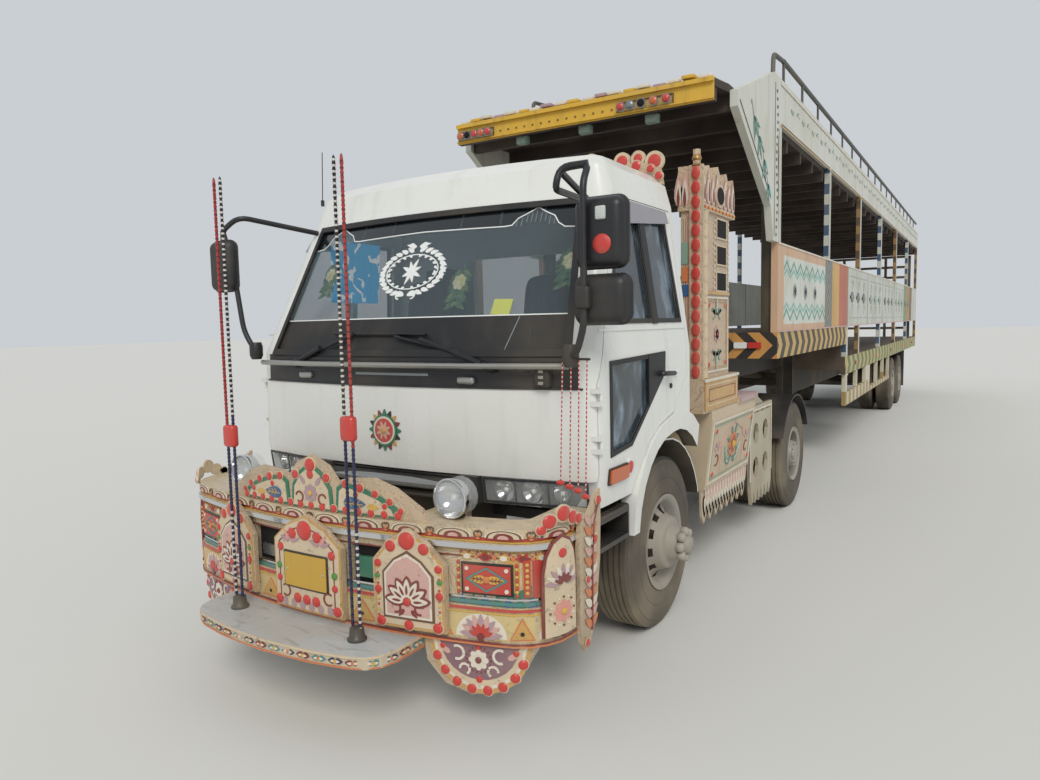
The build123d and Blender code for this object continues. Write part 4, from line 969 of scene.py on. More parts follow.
def pointed_arch(middle, width, low, shoulder, top, inset=0.0):
    """Gives the outline of an upright board with a pointed head, drawn in by an inset."""
    half = width / 2 - inset
    bend = shoulder + (top - shoulder) * 0.6 - inset * 0.6
    return [(middle - half, low + inset), (middle + half, low + inset),
            (middle + half, shoulder - inset * 0.3), (middle + half * 0.55, bend),
            (middle, top - inset * 1.2), (middle - half * 0.55, bend),
            (middle - half, shoulder - inset * 0.3)]


# %% [markdown]
# ## The bumper, band by band
# The bumper is a curved steel wall that carries painted, beaten ornament. Its bands are the main wall, a
# shelf that stands out at its top, a low band, and a swelling foot. `on_bumper` measures along the curve from
# the middle of the nose, so a band is drawn as if the wall were flat and then wraps round both corners.

# %% Shelf, rails and bead bands
ochre = enamel("ochre_enamel", "#C79C58", wear=0.35)
straw = enamel("straw_enamel", "#CDB781", wear=0.30)
faded_green = enamel("faded_green", "#7FA391", wear=0.35)
faded_pink = enamel("faded_pink", "#CFA59A", wear=0.35)
plum = enamel("plum_enamel", "#83606B", wear=0.32)
SHELF_OUT, RAIL_OUT, LOW_OUT, FOOT_OUT, FRAME_OUT = 0.014, 0.022, 0.016, 0.024, 0.050
ALL_ROUND = CORNER_RUN + 0.27


def lifted(out):
    """Gives the bumper's face moved out to the top of one of its bands."""
    return lambda along, height, raise_by: on_bumper(along, height, raise_by + out)


SCALLOP_PITCH, SCALLOP_FOOT = 0.240, 0.958
bands = Relief(lifted(SHELF_OUT), grain=0.07)
for sign in (1, -1):
    for number in range(int(ALL_ROUND / SCALLOP_PITCH)):
        middle = sign * SCALLOP_PITCH * (number + 0.5)
        for width, top, finish, height in ((0.088, 0.998, ivory, 0.003), (0.080, 0.995, brown, 0.005),
                                           (0.070, 0.991, cream, 0.007), (0.046, 0.984, maroon, 0.009),
                                           (0.026, 0.976, faded_pink, 0.011)):
            arc = [(middle + width * math.cos(t), SCALLOP_FOOT + (top - SCALLOP_FOOT) * math.sin(t) ** 0.8)
                   for t in spread(0.02, math.pi - 0.02, 13)]
            bands.board(arc, finish, height)
        for turn in (1, -1):
            root = (middle + turn * SCALLOP_PITCH / 2 - turn * 0.006, 0.976)
            bands.scroll(root, 0.016, 60, 190, turn, 0.005, brown, 0.005, steps=10)
        bands.disc((middle + sign * SCALLOP_PITCH / 2, 0.962), 0.012, orange, 0.004, sides=10)
bands.done("bumper_shelf_scallops", "painted_bumper")

rails = Relief(on_bumper, grain=0.07)
for low, high, out, finish in (
    (0.944, 0.957, 0.006, red), (0.936, 0.943, 0.010, yellow),
    (0.896, 0.904, 0.010, brass), (0.862, 0.868, 0.005, maroon),
    (0.672, 0.680, 0.010, chrome), (0.645, 0.662, 0.006, teal),
):
    rails.block((-ALL_ROUND, low), (ALL_ROUND, high), finish, out)
rails.done("bumper_lines", "painted_bumper")

chrome_rail = Relief(lifted(RAIL_OUT), grain=0.07)
chrome_rail.block((-ALL_ROUND, 0.908), (ALL_ROUND, 0.932), chrome, 0.006)
chrome_rail.done("bumper_chrome_rail", "painted_bumper")

# %% Fans and pennants on the wall between the rails
wall = Relief(on_bumper, grain=0.07)
FAN_PITCH = 0.088
for sign in (1, -1):
    for number in range(int((ALL_ROUND - 0.86) / FAN_PITCH)):
        middle = sign * (0.90 + FAN_PITCH * number)
        wall.disc((middle, 0.866), 0.030, red if number % 2 else yellow, 0.004, squash=0.6, sides=14)
        wall.disc((middle, 0.866), 0.018, maroon if number % 2 else ivory, 0.007, squash=0.7, sides=12)
        wall.disc((middle + sign * FAN_PITCH / 2, 0.866), 0.010, orange, 0.006, sides=8)
    beads(wall, [(sign * along, 0.885) for along in spread(0.87, ALL_ROUND, 42)], 0.006, (red, yellow), 0.006)
    for number, along in enumerate(spread(0.87, ALL_ROUND - 0.02, 15)):
        middle = sign * along
        wall.board([(middle - 0.024, 0.640), (middle + 0.024, 0.640), (middle, 0.690)],
                   green if number % 2 else blue, 0.004)
    wall.block((sign * 1.205, 0.684), (sign * 1.262, 0.858), red, 0.006)
    wall.block((sign * 1.085, 0.694), (sign * 1.200, 0.856), ochre, 0.002)
    wedge = [(sign * 1.040, 0.684), (sign * 1.200, 0.684), (sign * 1.200, 0.742), (sign * 1.120, 0.704)]
    wall.board(wedge[::sign], green, 0.005)
wall.done("bumper_wall_fans", "painted_bumper")

# %% Low band: half flowers, pennants and shells
low_band = Relief(lifted(LOW_OUT), grain=0.07)
low_band.block((-ALL_ROUND, 0.486), (ALL_ROUND, 0.604), straw, 0.0015)
low_band.block((-ALL_ROUND, 0.622), (ALL_ROUND, 0.634), red, 0.005)
low_band.block((-ALL_ROUND, 0.606), (ALL_ROUND, 0.614), yellow, 0.004)
for sign in (1, -1):
    for middle, outer_finish, inner_finish in ((0.555, navy, ivory), (0.965, mauve, red),
                                               (1.35, navy, mauve)):
        centre = (sign * middle, 0.500)
        half_round = [(sign * middle + 0.124 * math.cos(t), 0.494 + 0.112 * math.sin(t))
                      for t in spread(0.0, math.pi, 17)]
        low_band.board(half_round, ivory, 0.003)
        outer_pair = (outer_finish, faded_pink)
        fan(low_band, centre, (0.016, 0.104), spread(6, 174, 9), 0.032, outer_pair, 0.006, 0.6)
        fan(low_band, centre, (0.014, 0.062), spread(20, 160, 6), 0.018, (inner_finish,), 0.010, 0.5)
        low_band.disc(centre, 0.018, maroon, 0.012, sides=12)
    for first, last in ((0.24, 0.42), (0.685, 0.835), (1.095, 1.215)):
        pitch = last - first
        middle = sign * (first + pitch * 0.5)
        for half, foot, tip, finish, height in ((0.46, 0.492, 0.598, orange, 0.004),
                                                (0.39, 0.499, 0.588, ochre, 0.007)):
            low_band.board([(middle - pitch * half, foot), (middle + pitch * half, foot), (middle, tip)],
                           finish, height)
        low_band.disc((middle, 0.525), 0.009, black, 0.010, sides=10)
low_band.done("bumper_low_band", "painted_bumper")

foot_band = Relief(lifted(FOOT_OUT), grain=0.07)
foot_band.block((-ALL_ROUND, 0.4715), (ALL_ROUND, 0.4790), maroon, 0.004)
foot_band.block((-ALL_ROUND, 0.4605), (ALL_ROUND, 0.4690), orange, 0.004)
foot_band.done("bumper_foot_lines", "painted_bumper")

# %% [markdown]
# ## Upright boards on the nose
# Three pointed boards stand in front of the wall. The outer two hold a palmette of white and maroon leaves in
# a pink arch with a brown rim. The middle one frames the number plate, which stays blank, with big reflectors
# above and round it.

# %% Palmette boards
def palmette_board(middle):
    """Draws one of the two outer boards."""
    panel = Relief(lifted(FRAME_OUT), grain=0.08)
    for inset, finish, height in ((0.006, ochre, 0.004), (0.018, cream, 0.007)):
        panel.board(pointed_arch(middle, 0.380, 0.500, 0.820, 0.980, inset), finish, height)
    for inset, finish, height in ((0.0, brown, 0.010), (0.012, ivory, 0.013), (0.024, faded_pink, 0.015)):
        panel.board(pointed_arch(middle, 0.272, 0.548, 0.770, 0.880, inset), finish, height)
    base = (middle, 0.640)
    for radii, width, finish, height in (((0.012, 0.122), 0.056, maroon, 0.018),
                                         ((0.020, 0.108), 0.032, ivory, 0.021),
                                         ((0.034, 0.080), 0.010, maroon, 0.024)):
        fan(panel, base, radii, spread(4, 176, 7), width, (finish,), height, 0.5)
    panel.disc(base, 0.020, red, 0.024, sides=14, dome=0.006)
    for side in (1, -1):
        panel.scroll((middle + side * 0.062, 0.606), 0.028, 60, 200, side, 0.009, maroon, 0.018)
        panel.petal((middle + side * 0.02, 0.600), 0.044, 0.020, -90 + side * 40, maroon, 0.018, 0.7)
        edge_line = [(middle + side * 0.162, z) for z in spread(0.53, 0.81, 12)]
        beads(panel, edge_line, 0.006, (yellow, red), 0.012)
    for offset, z, radius in ((-0.160, 0.806, 0.019), (0.160, 0.806, 0.019), (-0.162, 0.680, 0.019),
                              (0.162, 0.680, 0.019), (-0.150, 0.528, 0.024), (0.150, 0.528, 0.024),
                              (0.0, 0.524, 0.024), (-0.088, 0.894, 0.027), (0.088, 0.894, 0.027)):
        panel.reflector((middle + offset, z), radius)
    for offset in (-0.165, 0.165):
        panel.reflector((middle + offset, 0.745), 0.014, lens=lens_green)
    panel.reflector((middle, 0.926), 0.042)
    return panel


for name, side in SIDES.items():
    palmette_board(side * 0.620).done(f"palmette_board_{name}")

# %% Plate board
plate_board = Relief(lifted(FRAME_OUT), grain=0.08)
for inset, finish, height in ((0.006, ochre, 0.005), (0.016, cream, 0.008)):
    plate_board.board(pointed_arch(0, 0.480, 0.480, 0.840, 0.985, inset), finish, height)
plate_board.stroke(pointed_arch(0, 0.480, 0.480, 0.840, 0.985, 0.046), 0.006, maroon, 0.010, closed=True)
for side in (1, -1):
    fan(plate_board, (side * 0.105, 0.835), (0.01, 0.075), spread(20, 160, 5), 0.022, (mauve, pink), 0.012)
    plate_board.reflector((side * 0.180, 0.800), 0.022)
    plate_board.reflector((side * 0.195, 0.700), 0.018, lens=lens_green)
    plate_board.reflector((side * 0.195, 0.635), 0.018)
    plate_board.scroll((side * 0.150, 0.575), 0.034, 40, 220, side, 0.008, maroon, 0.012)
plate_board.reflector((0, 0.905), 0.050)
for side in (1, -1):
    plate_board.reflector((side * 0.088, 0.880), 0.028)
    plate_board.reflector((side * 0.205, 0.520), 0.026)
for x in (-0.066, 0.0, 0.066):
    plate_board.reflector((x, 0.548), 0.026)
for x in spread(-0.16, 0.16, 6):
    plate_board.petal((x, 0.492), 0.048, 0.034, 90, mauve, 0.010, 0.4)
plate_board.block((-0.155, 0.600), (0.155, 0.790), black, 0.012, soft=0.008)
plate_board.done("plate_board")
plate_yellow = worn("plate_yellow", "#C79F38", 0.4, dust=0.15, streaks=0.1, rough=0.3, ground_dust=0.1)
plate = Relief(lifted(FRAME_OUT + 0.012), grain=0.08)
plate.block((-0.145, 0.610), (0.145, 0.780), plate_yellow, 0.005, soft=0.006)
for x in (-0.125, 0.125):
    plate.disc((x, 0.695), 0.006, chrome, 0.008, sides=10, dome=0.002)
plate.done("blank_plate")

# %% [markdown]
# ## Recesses, lozenges and upright strips
# Between the boards the wall is cut away and dark. Beyond them are a red lozenge panel with a feathered leaf,
# strips of red and yellow beads and, on the corner, a tall cream board with a shell.

# %% Panels beyond the boards
side_panels = Relief(on_bumper, grain=0.07)
for sign in (1, -1):
    near, far = 0.870, 1.120
    side_panels.block((sign * near, 0.690), (sign * far, 0.838), black, 0.008)
    side_panels.block((sign * (near + 0.012), 0.700), (sign * (far - 0.012), 0.828), red, 0.012)
    middle = sign * (near + far) / 2
    lozenge = [(middle - 0.104, 0.764), (middle, 0.706), (middle + 0.104, 0.764), (middle, 0.822)]
    side_panels.stroke(lozenge, 0.008, teal, 0.015, closed=True)
    for turn in (0, 180):
        leaf(side_panels, (middle, 0.764), 0.085, turn, yellow, maroon, 0.42, 0.015)
    side_panels.disc((middle, 0.764), 0.016, orange, 0.019, sides=12, dome=0.004)
    for z in (0.716, 0.812):
        for along in (near + 0.03, far - 0.03):
            side_panels.disc((sign * along, z), 0.010, ivory, 0.016, sides=8)
    for along in (0.855, 1.135):
        beads(side_panels, [(sign * along, z) for z in spread(0.695, 0.835, 9)], 0.0085, (red, yellow), 0.008)
    side_panels.block((sign * 1.165, 0.690), (sign * 1.195, 0.860), red, 0.010)
    beads(side_panels, [(sign * 1.18, z) for z in spread(0.71, 0.84, 6)], 0.009, (yellow,), 0.015)
side_panels.done("bumper_lozenges", "painted_bumper")

corner_boards = Relief(lifted(RAIL_OUT + 0.006), grain=0.05)
for sign in (1, -1):
    middle = sign * 1.335
    outline = [(x * 0.100, z) for x, z in ((-1, 0.50), (1, 0.50), (1, 0.80), (0.85, 0.88), (0.5, 0.94),
                                           (0, 0.965), (-0.5, 0.94), (-0.85, 0.88), (-1, 0.80))]
    corner_boards.board(outline, maroon, 0.006, centre=(middle, 0))
    corner_boards.board([(x * 0.88, 0.50 + (z - 0.50) * 0.97) for x, z in outline], cream, 0.010,
                        centre=(middle, 0))
    fan(corner_boards, (middle, 0.740), (0.012, 0.090), spread(5, 175, 9), 0.022, (mauve, ivory), 0.014, 0.5)
    fan(corner_boards, (middle, 0.740), (0.010, 0.050), spread(25, 155, 5), 0.016, (maroon,), 0.019, 0.5)
    corner_boards.reflector((middle, 0.880), 0.022)
    flower(corner_boards, (middle, 0.610), 0.052, pink, yellow, 8, 0.014)
    beads(corner_boards, arc_points((middle, 0.610), 0.066, 0, 337, 15), 0.005, (brown, ivory), 0.014)
corner_boards.done("corner_boards")

# %% [markdown]
# ## Crest and skirts
# A carved crest stands on the bumper's shelf, and a half-round skirt hangs under each end. Both are thin
# boards with a painted border, so each gets a rim, a field and scrolls, and a row of reflectors.

# %% Crest on the shelf
crest = Relief(lifted(-0.006), grain=0.08)
crest.board([(-0.150, 1.006), (0.150, 1.006), (0.140, 1.120), (0.080, 1.195), (0.0, 1.245), (-0.080, 1.195),
             (-0.140, 1.120)], green, 0.005)
crest.board([(-0.130, 1.014), (0.130, 1.014), (0.120, 1.110), (0.068, 1.178), (0.0, 1.222), (-0.068, 1.178),
             (-0.120, 1.110)], cream, 0.009)
flower(crest, (0.0, 1.085), 0.048, mauve, yellow, 8, 0.013)
for side in (1, -1):
    crest.scroll((side * 0.082, 1.060), 0.030, 70, 210, side, 0.008, maroon, 0.013)
    crest.petal((side * 0.040, 1.130), 0.060, 0.022, 90 - side * 40, mauve, 0.013, 0.8)
crest.reflector((0.0, 1.180), 0.022)
for side in (1, -1):
    lobe = [(side * x, z) for x, z in ((0.165, 1.006), (0.560, 1.006), (0.545, 1.055), (0.450, 1.105),
                                       (0.340, 1.140), (0.220, 1.160), (0.175, 1.130))]
    inner = [(side * x, z) for x, z in ((0.185, 1.018), (0.520, 1.018), (0.505, 1.048), (0.430, 1.088),
                                        (0.330, 1.120), (0.225, 1.138), (0.195, 1.115))]
    crest.board(lobe[::side], green, 0.005)
    crest.board(inner[::side], cream, 0.009)
    away = 0 if side > 0 else 180
    leaf(crest, (side * 0.225, 1.062), 0.135, away, blue, yellow, 0.42, 0.013)
    crest.petal((side * 0.37, 1.052), 0.070, 0.030, away, yellow, 0.013, 0.8)
    for x, z in ((0.47, 1.062), (0.30, 1.105)):
        crest.reflector((side * x, z), 0.014)
for x in spread(-0.545, 0.545, 15):
    crest.reflector((x, 1.022), 0.019)
for x, z, radius in ((0.0, 1.228, 0.034), (0.112, 1.172, 0.022), (0.235, 1.152, 0.020), (0.325, 1.140, 0.021),
                     (0.415, 1.118, 0.018), (0.500, 1.086, 0.017), (0.560, 1.046, 0.015)):
    for side in (1, -1) if x else (1,):
        crest.reflector((side * x, z), radius)
crest.done("crest_painting")

# %% Skirts under the two ends
for name, side in SIDES.items():
    skirt = Relief(lifted(-0.006), grain=0.06)
    middle = side * 0.945
    half_oval = [(middle - 0.262, 0.456)] + [
        (middle - 0.250 * math.cos(t), 0.452 - 0.238 * math.sin(t)) for t in spread(0.06, math.pi - 0.06, 13)
    ] + [(middle + 0.262, 0.456)]
    skirt.board(half_oval[::-1], ochre, 0.005)
    for across, top, down, finish, height in ((0.91, 0.454, 0.90, ivory, 0.008),
                                              (0.85, 0.452, 0.82, cream, 0.010),
                                              (0.76, 0.449, 0.70, plum, 0.012)):
        drawn_in = [(middle + (x - middle) * across, top + (z - top) * down) for x, z in half_oval]
        skirt.board(drawn_in[::-1], finish, height)
    flower(skirt, (middle, 0.380), 0.050, ivory, maroon, 8, 0.015)
    beads(skirt, arc_points((middle, 0.380), 0.060, 0, 340, 17), 0.005, (maroon,), 0.014)
    for turn in (1, -1):
        skirt.scroll((middle + turn * 0.105, 0.405), 0.038, 30, 200, turn, 0.012, ivory, 0.015, steps=14)
        skirt.scroll((middle + turn * 0.070, 0.330), 0.030, -150, -90, turn, 0.011, ivory, 0.015, steps=14)
        skirt.petal((middle + turn * 0.142, 0.398), 0.066, 0.026, 90 - turn * 62, faded_pink, 0.014, 0.8)
        skirt.reflector((middle + turn * 0.180, 0.425), 0.015)
    for t in spread(0.32, math.pi - 0.32, 8):
        skirt.reflector((middle - 0.222 * math.cos(t), 0.440 - 0.208 * math.sin(t)), 0.023)
    skirt.reflector((middle, 0.285), 0.016)
    skirt.reflector((middle, 0.436), 0.014)
    skirt.done(f"skirt_painting_{name}")

# %% [markdown]
# ## Faceted nodes become smooth
# The CAD model keeps its curves as a few flat runs. Where it should read as pressed steel, the same mesh is
# welded and shaded smoothly, and only its real edges stay sharp. No vertex moves.

# %% Smooth the pressed pieces
def shade_curves(name):
    """Shades a node smoothly between its real edges, those that turn by more than 24 degrees."""
    node = nodes[name]
    weld = node.modifiers.new("weld", "WELD")
    weld.merge_threshold = 0.00005
    edges = node.modifiers.new("edges", "EDGE_SPLIT")
    edges.split_angle = math.radians(24)
    node.data.polygons.foreach_set("use_smooth", [True] * len(node.data.polygons))


for name in ("cab_front", "cab_back", "cab_roof", "cowl_panel", "cab_glass", "door_left", "door_right",
             "front_mudguards", "rear_mudguards", "bumper_body", "bumper_step", "bumper_boards",
             "bumper_skirts", "lamps", "front_axle", "rear_axle", "grab_rail", "nose_lamps", "whip_rods",
             "dashboard", "railings", "tie_rod", "knuckle_left", "knuckle_right", "trailer_axles"):
    shade_curves(name)


# %% [markdown]
# ## Cab: glass edges, films and wipers
# The windscreen sits in a wide black rubber. A dark film with a thin white outline runs across its top and
# bends up into two small arches, and a black band hides its foot. All of these follow the curved front, so
# they are drawn flat, cut into short runs and laid on it.

# %% Lines in short runs
def finely(points, step=0.06, closed=False):
    """Divides the runs of a line so that it can follow a curved face."""
    points = list(points)
    line = []
    for start, end in zip(points, points[1:] + (points[:1] if closed else [])):
        count = max(1, math.ceil(math.dist(start, end) / step))
        line += [tuple(a + (b - a) * share / count for a, b in zip(start, end)) for share in range(count)]
    return line if closed else line + [tuple(points[-1])]


def on_glass(x, height, out):
    """The outer surface of the windscreen."""
    return on_cab_front(x, height, out - 0.0155)


window_rubber = worn("window_rubber", "#1B1B1D", 0.6, dust=0.12, streaks=0.1, rough=0.5)
dark_film = Finish("dark_film", "#1C2124", 0.12, coat=0.4)
dark_film.gloss(dark_film.noise(4, detail=5).ease(0.4, 0.9) * 0.2 + 0.08)
vinyl_white = enamel("vinyl_white", "#E6E9E6", rough=0.4, wear=0.10)
vinyl_grey = enamel("vinyl_grey", "#8E989B", rough=0.4, wear=0.10)

# %% Windscreen
edge = Relief(on_cab_front, grain=0.06)
opening = [(-1.112, 1.747), (1.112, 1.747), (1.000, 2.590), (-1.000, 2.590)]
edge.stroke(finely(opening, closed=True), 0.034, window_rubber, 0.007, closed=True)
edge.done("windscreen_rubber", "black_plastic")

arch_line = [(0.995, 2.440), (0.920, 2.445), (0.880, 2.470), (0.850, 2.512), (0.800, 2.535), (0.740, 2.568),
             (0.680, 2.535), (0.630, 2.512), (0.600, 2.474), (0.555, 2.470), (0.0, 2.482)]
strip_line = [(-x, z) for x, z in arch_line] + arch_line[-2::-1]
film = Relief(on_glass, grain=0.08)
film.board([(-1.012, 2.440)] + strip_line[1:-1] + [(1.012, 2.440), (0.998, 2.588), (-0.998, 2.588)],
           dark_film, 0.0010)
film.board([(-1.108, 1.757), (1.108, 1.757), (1.082, 1.968), (-1.082, 1.968)], window_rubber, 0.0012)
film.stroke(finely(strip_line), 0.006, vinyl_white, 0.0022)
film.stroke(finely([(-1.08, 1.972), (1.08, 1.972)]), 0.006, vinyl_white, 0.0022)
for sign in (1, -1):
    for offset in spread(-0.11, 0.11, 9):
        x, low, top = sign * 0.740 + offset, 2.462 + 0.02 * (abs(offset) < 0.08), 2.550 - abs(offset) * 0.5
        film.stroke([(x, low), (x, top)], 0.0022, vinyl_grey, 0.0018)
film.stroke([(0.725, 1.762), (0.775, 1.960)], 0.004, vinyl_grey, 0.0018)
film.done("windscreen_films", "black_plastic")

# %% Leaf wreath in the middle of the glass
wreath = Relief(on_glass, grain=0.2)
middle_x, middle_z = -0.015, 2.240
for half_x, half_z, count, length, width in ((0.212, 0.122, 30, 0.060, 0.026),
                                             (0.168, 0.090, 22, 0.034, 0.014)):
    for turn in ring(count):
        angle = math.radians(turn)
        root = (middle_x + half_x * math.cos(angle), middle_z + half_z * math.sin(angle))
        outward = math.degrees(math.atan2(half_x * math.sin(angle), half_z * math.cos(angle)))
        lean = 62 if math.cos(angle) * math.sin(angle) < 0 else -62
        wreath.petal(root, length, width, outward + lean, vinyl_white, 0.0018, 0.7, sides=8)
oval = [(middle_x + 0.196 * math.cos(t), middle_z + 0.106 * math.sin(t))
        for t in spread(0, math.tau, 37)[:-1]]
wreath.stroke(oval, 0.006, vinyl_white, 0.002, closed=True)
for side in (1, -1):
    for level, sense in ((0.150, 1), (-0.138, -1)):
        height = middle_z + level
        curl_centre = (middle_x + side * 0.050, height)
        wreath.scroll(curl_centre, 0.026, 60, 190, side * sense, 0.008, vinyl_white, 0.002)
        wreath.petal((middle_x + side * 0.012, height), 0.085, 0.026, 90 - side * 78, vinyl_white, 0.002)
for turn in ring(8, 22.5):
    length = 0.082 if turn % 90 > 30 else 0.070
    wreath.petal((middle_x, middle_z), length, 0.024, turn, vinyl_white, 0.0018, 0.8)
wreath.disc((middle_x, middle_z), 0.012, vinyl_white, 0.003, sides=12)
wreath.done("leaf_wreath")

card_green = enamel("card_green", "#B5BC62", rough=0.6, wear=0.1)
card = Relief(on_glass, grain=0.2)
card.board([(0.600, 1.975), (0.712, 1.970), (0.716, 2.055), (0.604, 2.058)], card_green, 0.001)
card.done("blank_card")

# %% Wipers
blade_rubber = worn("wiper_black", "#26262A", 0.4, metallic=0.2, dust=0.2, streaks=0.0, rough=0.35)
wipers = bmesh.new()
for pivot, knee, tip, far_tip in (
    ((-0.800, 1.700), (-0.310, 1.868), (-0.490, 1.872), (0.240, 1.862)),
    ((0.690, 1.692), (0.215, 1.832), (0.020, 1.852), (0.420, 1.775)),
):
    sleeve = [[p + (k - p) * share for p, k in zip(pivot, knee)] for share in (0.12, 0.48)]
    for start, end, out, far_out, radius in (
        (pivot, knee, 0.030, 0.024, 0.011), (*sleeve, 0.034, 0.030, 0.017),
        (tip, far_tip, 0.016, 0.016, 0.007), (tip, far_tip, 0.003, 0.003, 0.006),
    ):
        merge(wipers, bar([on_cab_front(*start, out), on_cab_front(*end, far_out)], radius))
    boss = lathe(((0, 0), (0, 0.030), (0.018, 0.030), (0.036, 0.018), (0.040, 0)), 16)
    merge(wipers, boss, on_cab_front(*pivot, 0.004), TO_FRONT)
place("wipers", wipers, "tractor", blade_rubber, "black_plastic")

# %% Cowl: slits, nozzles and a switch box
cowl_set = bmesh.new()
for x, z in ((-0.715, 1.628), (0.528, 1.620)):
    nozzle = rounded_box((0.110, 0.034, 0.040), 0.014)
    merge(cowl_set, nozzle, on_cab_front(x, z, 0.008), finish=1)
switch = rounded_box((0.086, 0.050, 0.104), 0.010)
merge(cowl_set, switch, on_cab_front(0.974, 1.642, 0.020))
for level in (1.612, 1.642, 1.672):
    key = rounded_box((0.030, 0.012, 0.018), 0.004)
    merge(cowl_set, key, on_cab_front(0.974, level, 0.046), finish=1)
place("cowl_fittings", cowl_set, "tractor", [window_rubber, dull_steel], "black_plastic")
slits = Relief(on_cab_front, grain=0.06)
slits.stroke(finely([(-1.10, 1.738), (1.10, 1.738)]), 0.022, black_plastic, 0.014)
slits.stroke(finely([(-1.05, 1.664), (1.05, 1.664)]), 0.010, black_plastic, 0.006)
slits.block((-0.26, 1.640), (0.28, 1.655), vinyl_grey, 0.003)
slits.stroke(finely([(-1.17, 1.586), (1.17, 1.586)]), 0.010, black_plastic, 0.006)
slits.done("cowl_ribs", "black_plastic")

# %% [markdown]
# ## Cab: lamps and grille
# Each head lamp is a clear cover over two polished bowls. The grille is a dark slot with a chrome bar. Two
# round spot lamps stand on the bumper: a turned chrome shell, a bright bowl and a domed glass.

# %% Head lamps and chrome bar
bulb_glow = Finish("bulb_glass", "#F2F3EE", 0.1, coat=0.5)
lamp_back = worn("lamp_back", "#8B9092", 0.3, metallic=0.7, dust=0.1, streaks=0.0, rough=0.25)
lamp_rim = Finish("lamp_rim", "#3A3B3D", 0.35)
head_lamps = bmesh.new()
for side in (1, -1):
    for x, radius in ((0.725, 0.058), (0.880, 0.058), (1.040, 0.046)):
        bowl = lathe(((-0.060, 0.0), (-0.058, 0.012), (-0.045, radius * 0.55), (-0.014, radius),
                      (-0.008, radius), (-0.008, radius * 1.08), (-0.020, radius * 1.08)), 28)
        spot = on_cab_front(side * x, 1.036, -0.006)
        merge(head_lamps, bowl, spot, TO_FRONT, finish=0)
        bulb = lathe(((-0.055, 0), (-0.050, 0.012), (-0.020, 0.014), (-0.014, 0.008), (-0.012, 0)), 12)
        merge(head_lamps, bulb, spot, TO_FRONT, finish=1)
place("head_lamp_bowls", head_lamps, "tractor", [chrome, bulb_glow], "lamp_lens")
lamp_edges = Relief(on_cab_front, grain=0.05)
for side in (1, -1):
    outline = oblong(side * 0.610, 0.966, side * 1.190, 1.106)
    lamp_edges.stroke(finely(outline, 0.05, closed=True), 0.012, lamp_rim, 0.004, closed=True)
    for x, width in ((0.800, 0.007), (0.985, 0.012)):
        lamp_edges.stroke(finely([(side * x, 0.968), (side * x, 1.104)], 0.05), width, lamp_back, 0.003)
lamp_edges.done("head_lamp_rims", "grille_metal")

bar_steel = worn("bar_steel", "#A9ACAC", 0.32, metallic=0.75, dust=0.3, streaks=0.1, rough=0.3)
grille_set = bmesh.new()
merge(grille_set, bar([on_cab_front(x, 1.045, 0.014) for x in spread(-0.47, 0.47, 15)], 0.031, fineness=3))
for side in (1, -1):
    merge(grille_set, bar([on_cab_front(side * 0.46, 1.045, 0.014), on_cab_front(side * 0.530, 1.088, 0.010),
                           on_cab_front(side * 0.590, 1.092, 0.004)], 0.020, 0.03, fineness=3))
merge(grille_set, bar([on_cab_front(x, 0.972, 0.006) for x in spread(-0.59, 0.59, 15)], 0.012), finish=1)
for level in (1.006, 1.075):
    merge(grille_set, bar([on_cab_front(x, level, -0.012) for x in spread(-0.58, 0.58, 15)], 0.006), finish=1)
for x in spread(-0.56, 0.56, 29):
    upright = bar([on_cab_front(x, 0.972, -0.018), on_cab_front(x, 1.096, -0.018)], 0.003, fineness=0)
    merge(grille_set, upright, finish=1)
place("grille_bars", grille_set, "tractor", [bar_steel, black_plastic], "grille_metal")

# %% Spot lamps
for name, side in SIDES.items():
    spot = lathe(((-0.088, 0.0), (-0.086, 0.020), (-0.078, 0.052), (-0.050, 0.082), (-0.010, 0.0935),
                  (0.004, 0.0965), (0.012, 0.0975), (0.018, 0.0965), (0.020, 0.090), (0.014, 0.087),
                  (0.006, 0.086), (-0.020, 0.070), (-0.048, 0.034), (-0.056, 0.0)), 40)
    middle = Vector((side * 0.750, at(-0.420), 1.100))
    bmesh.ops.transform(spot, matrix=Matrix.Translation(middle) @ TO_FRONT, verts=spot.verts)
    glass = lathe(((0.008, 0.0865), (0.012, 0.082), (0.022, 0.055), (0.028, 0.028), (0.030, 0.0)), 36)
    merge(spot, glass, middle, TO_FRONT, finish=1)
    bulb = lathe(((-0.050, 0), (-0.046, 0.014), (-0.016, 0.016), (-0.008, 0.008), (-0.006, 0)), 12)
    merge(spot, bulb, middle, TO_FRONT, finish=2)
    stalk = bar([(side * 0.750, at(-0.375), 1.000), (side * 0.750, at(-0.375), 1.020)], 0.038)
    merge(spot, stalk, finish=3)
    place(f"spot_lamp_{name}", spot, "tractor", [chrome, lamp_glass, bulb_glow, black_plastic], "lamp_lens")

# %% [markdown]
# ## Cab: sides and doors
# The side walls lean in above the waist, so their face function takes its width from the height. Rubber
# frames the windows, a smoky visor shades them, and an amber lamp sits ahead of the wheel arch.

# %% The leaning side walls
def on_cab_side(side):
    """Gives the face function of one side of the cab."""
    def face(station, height, out):
        return Vector((side * (cab_at(height)[0] + out), at(station), height))
    return face


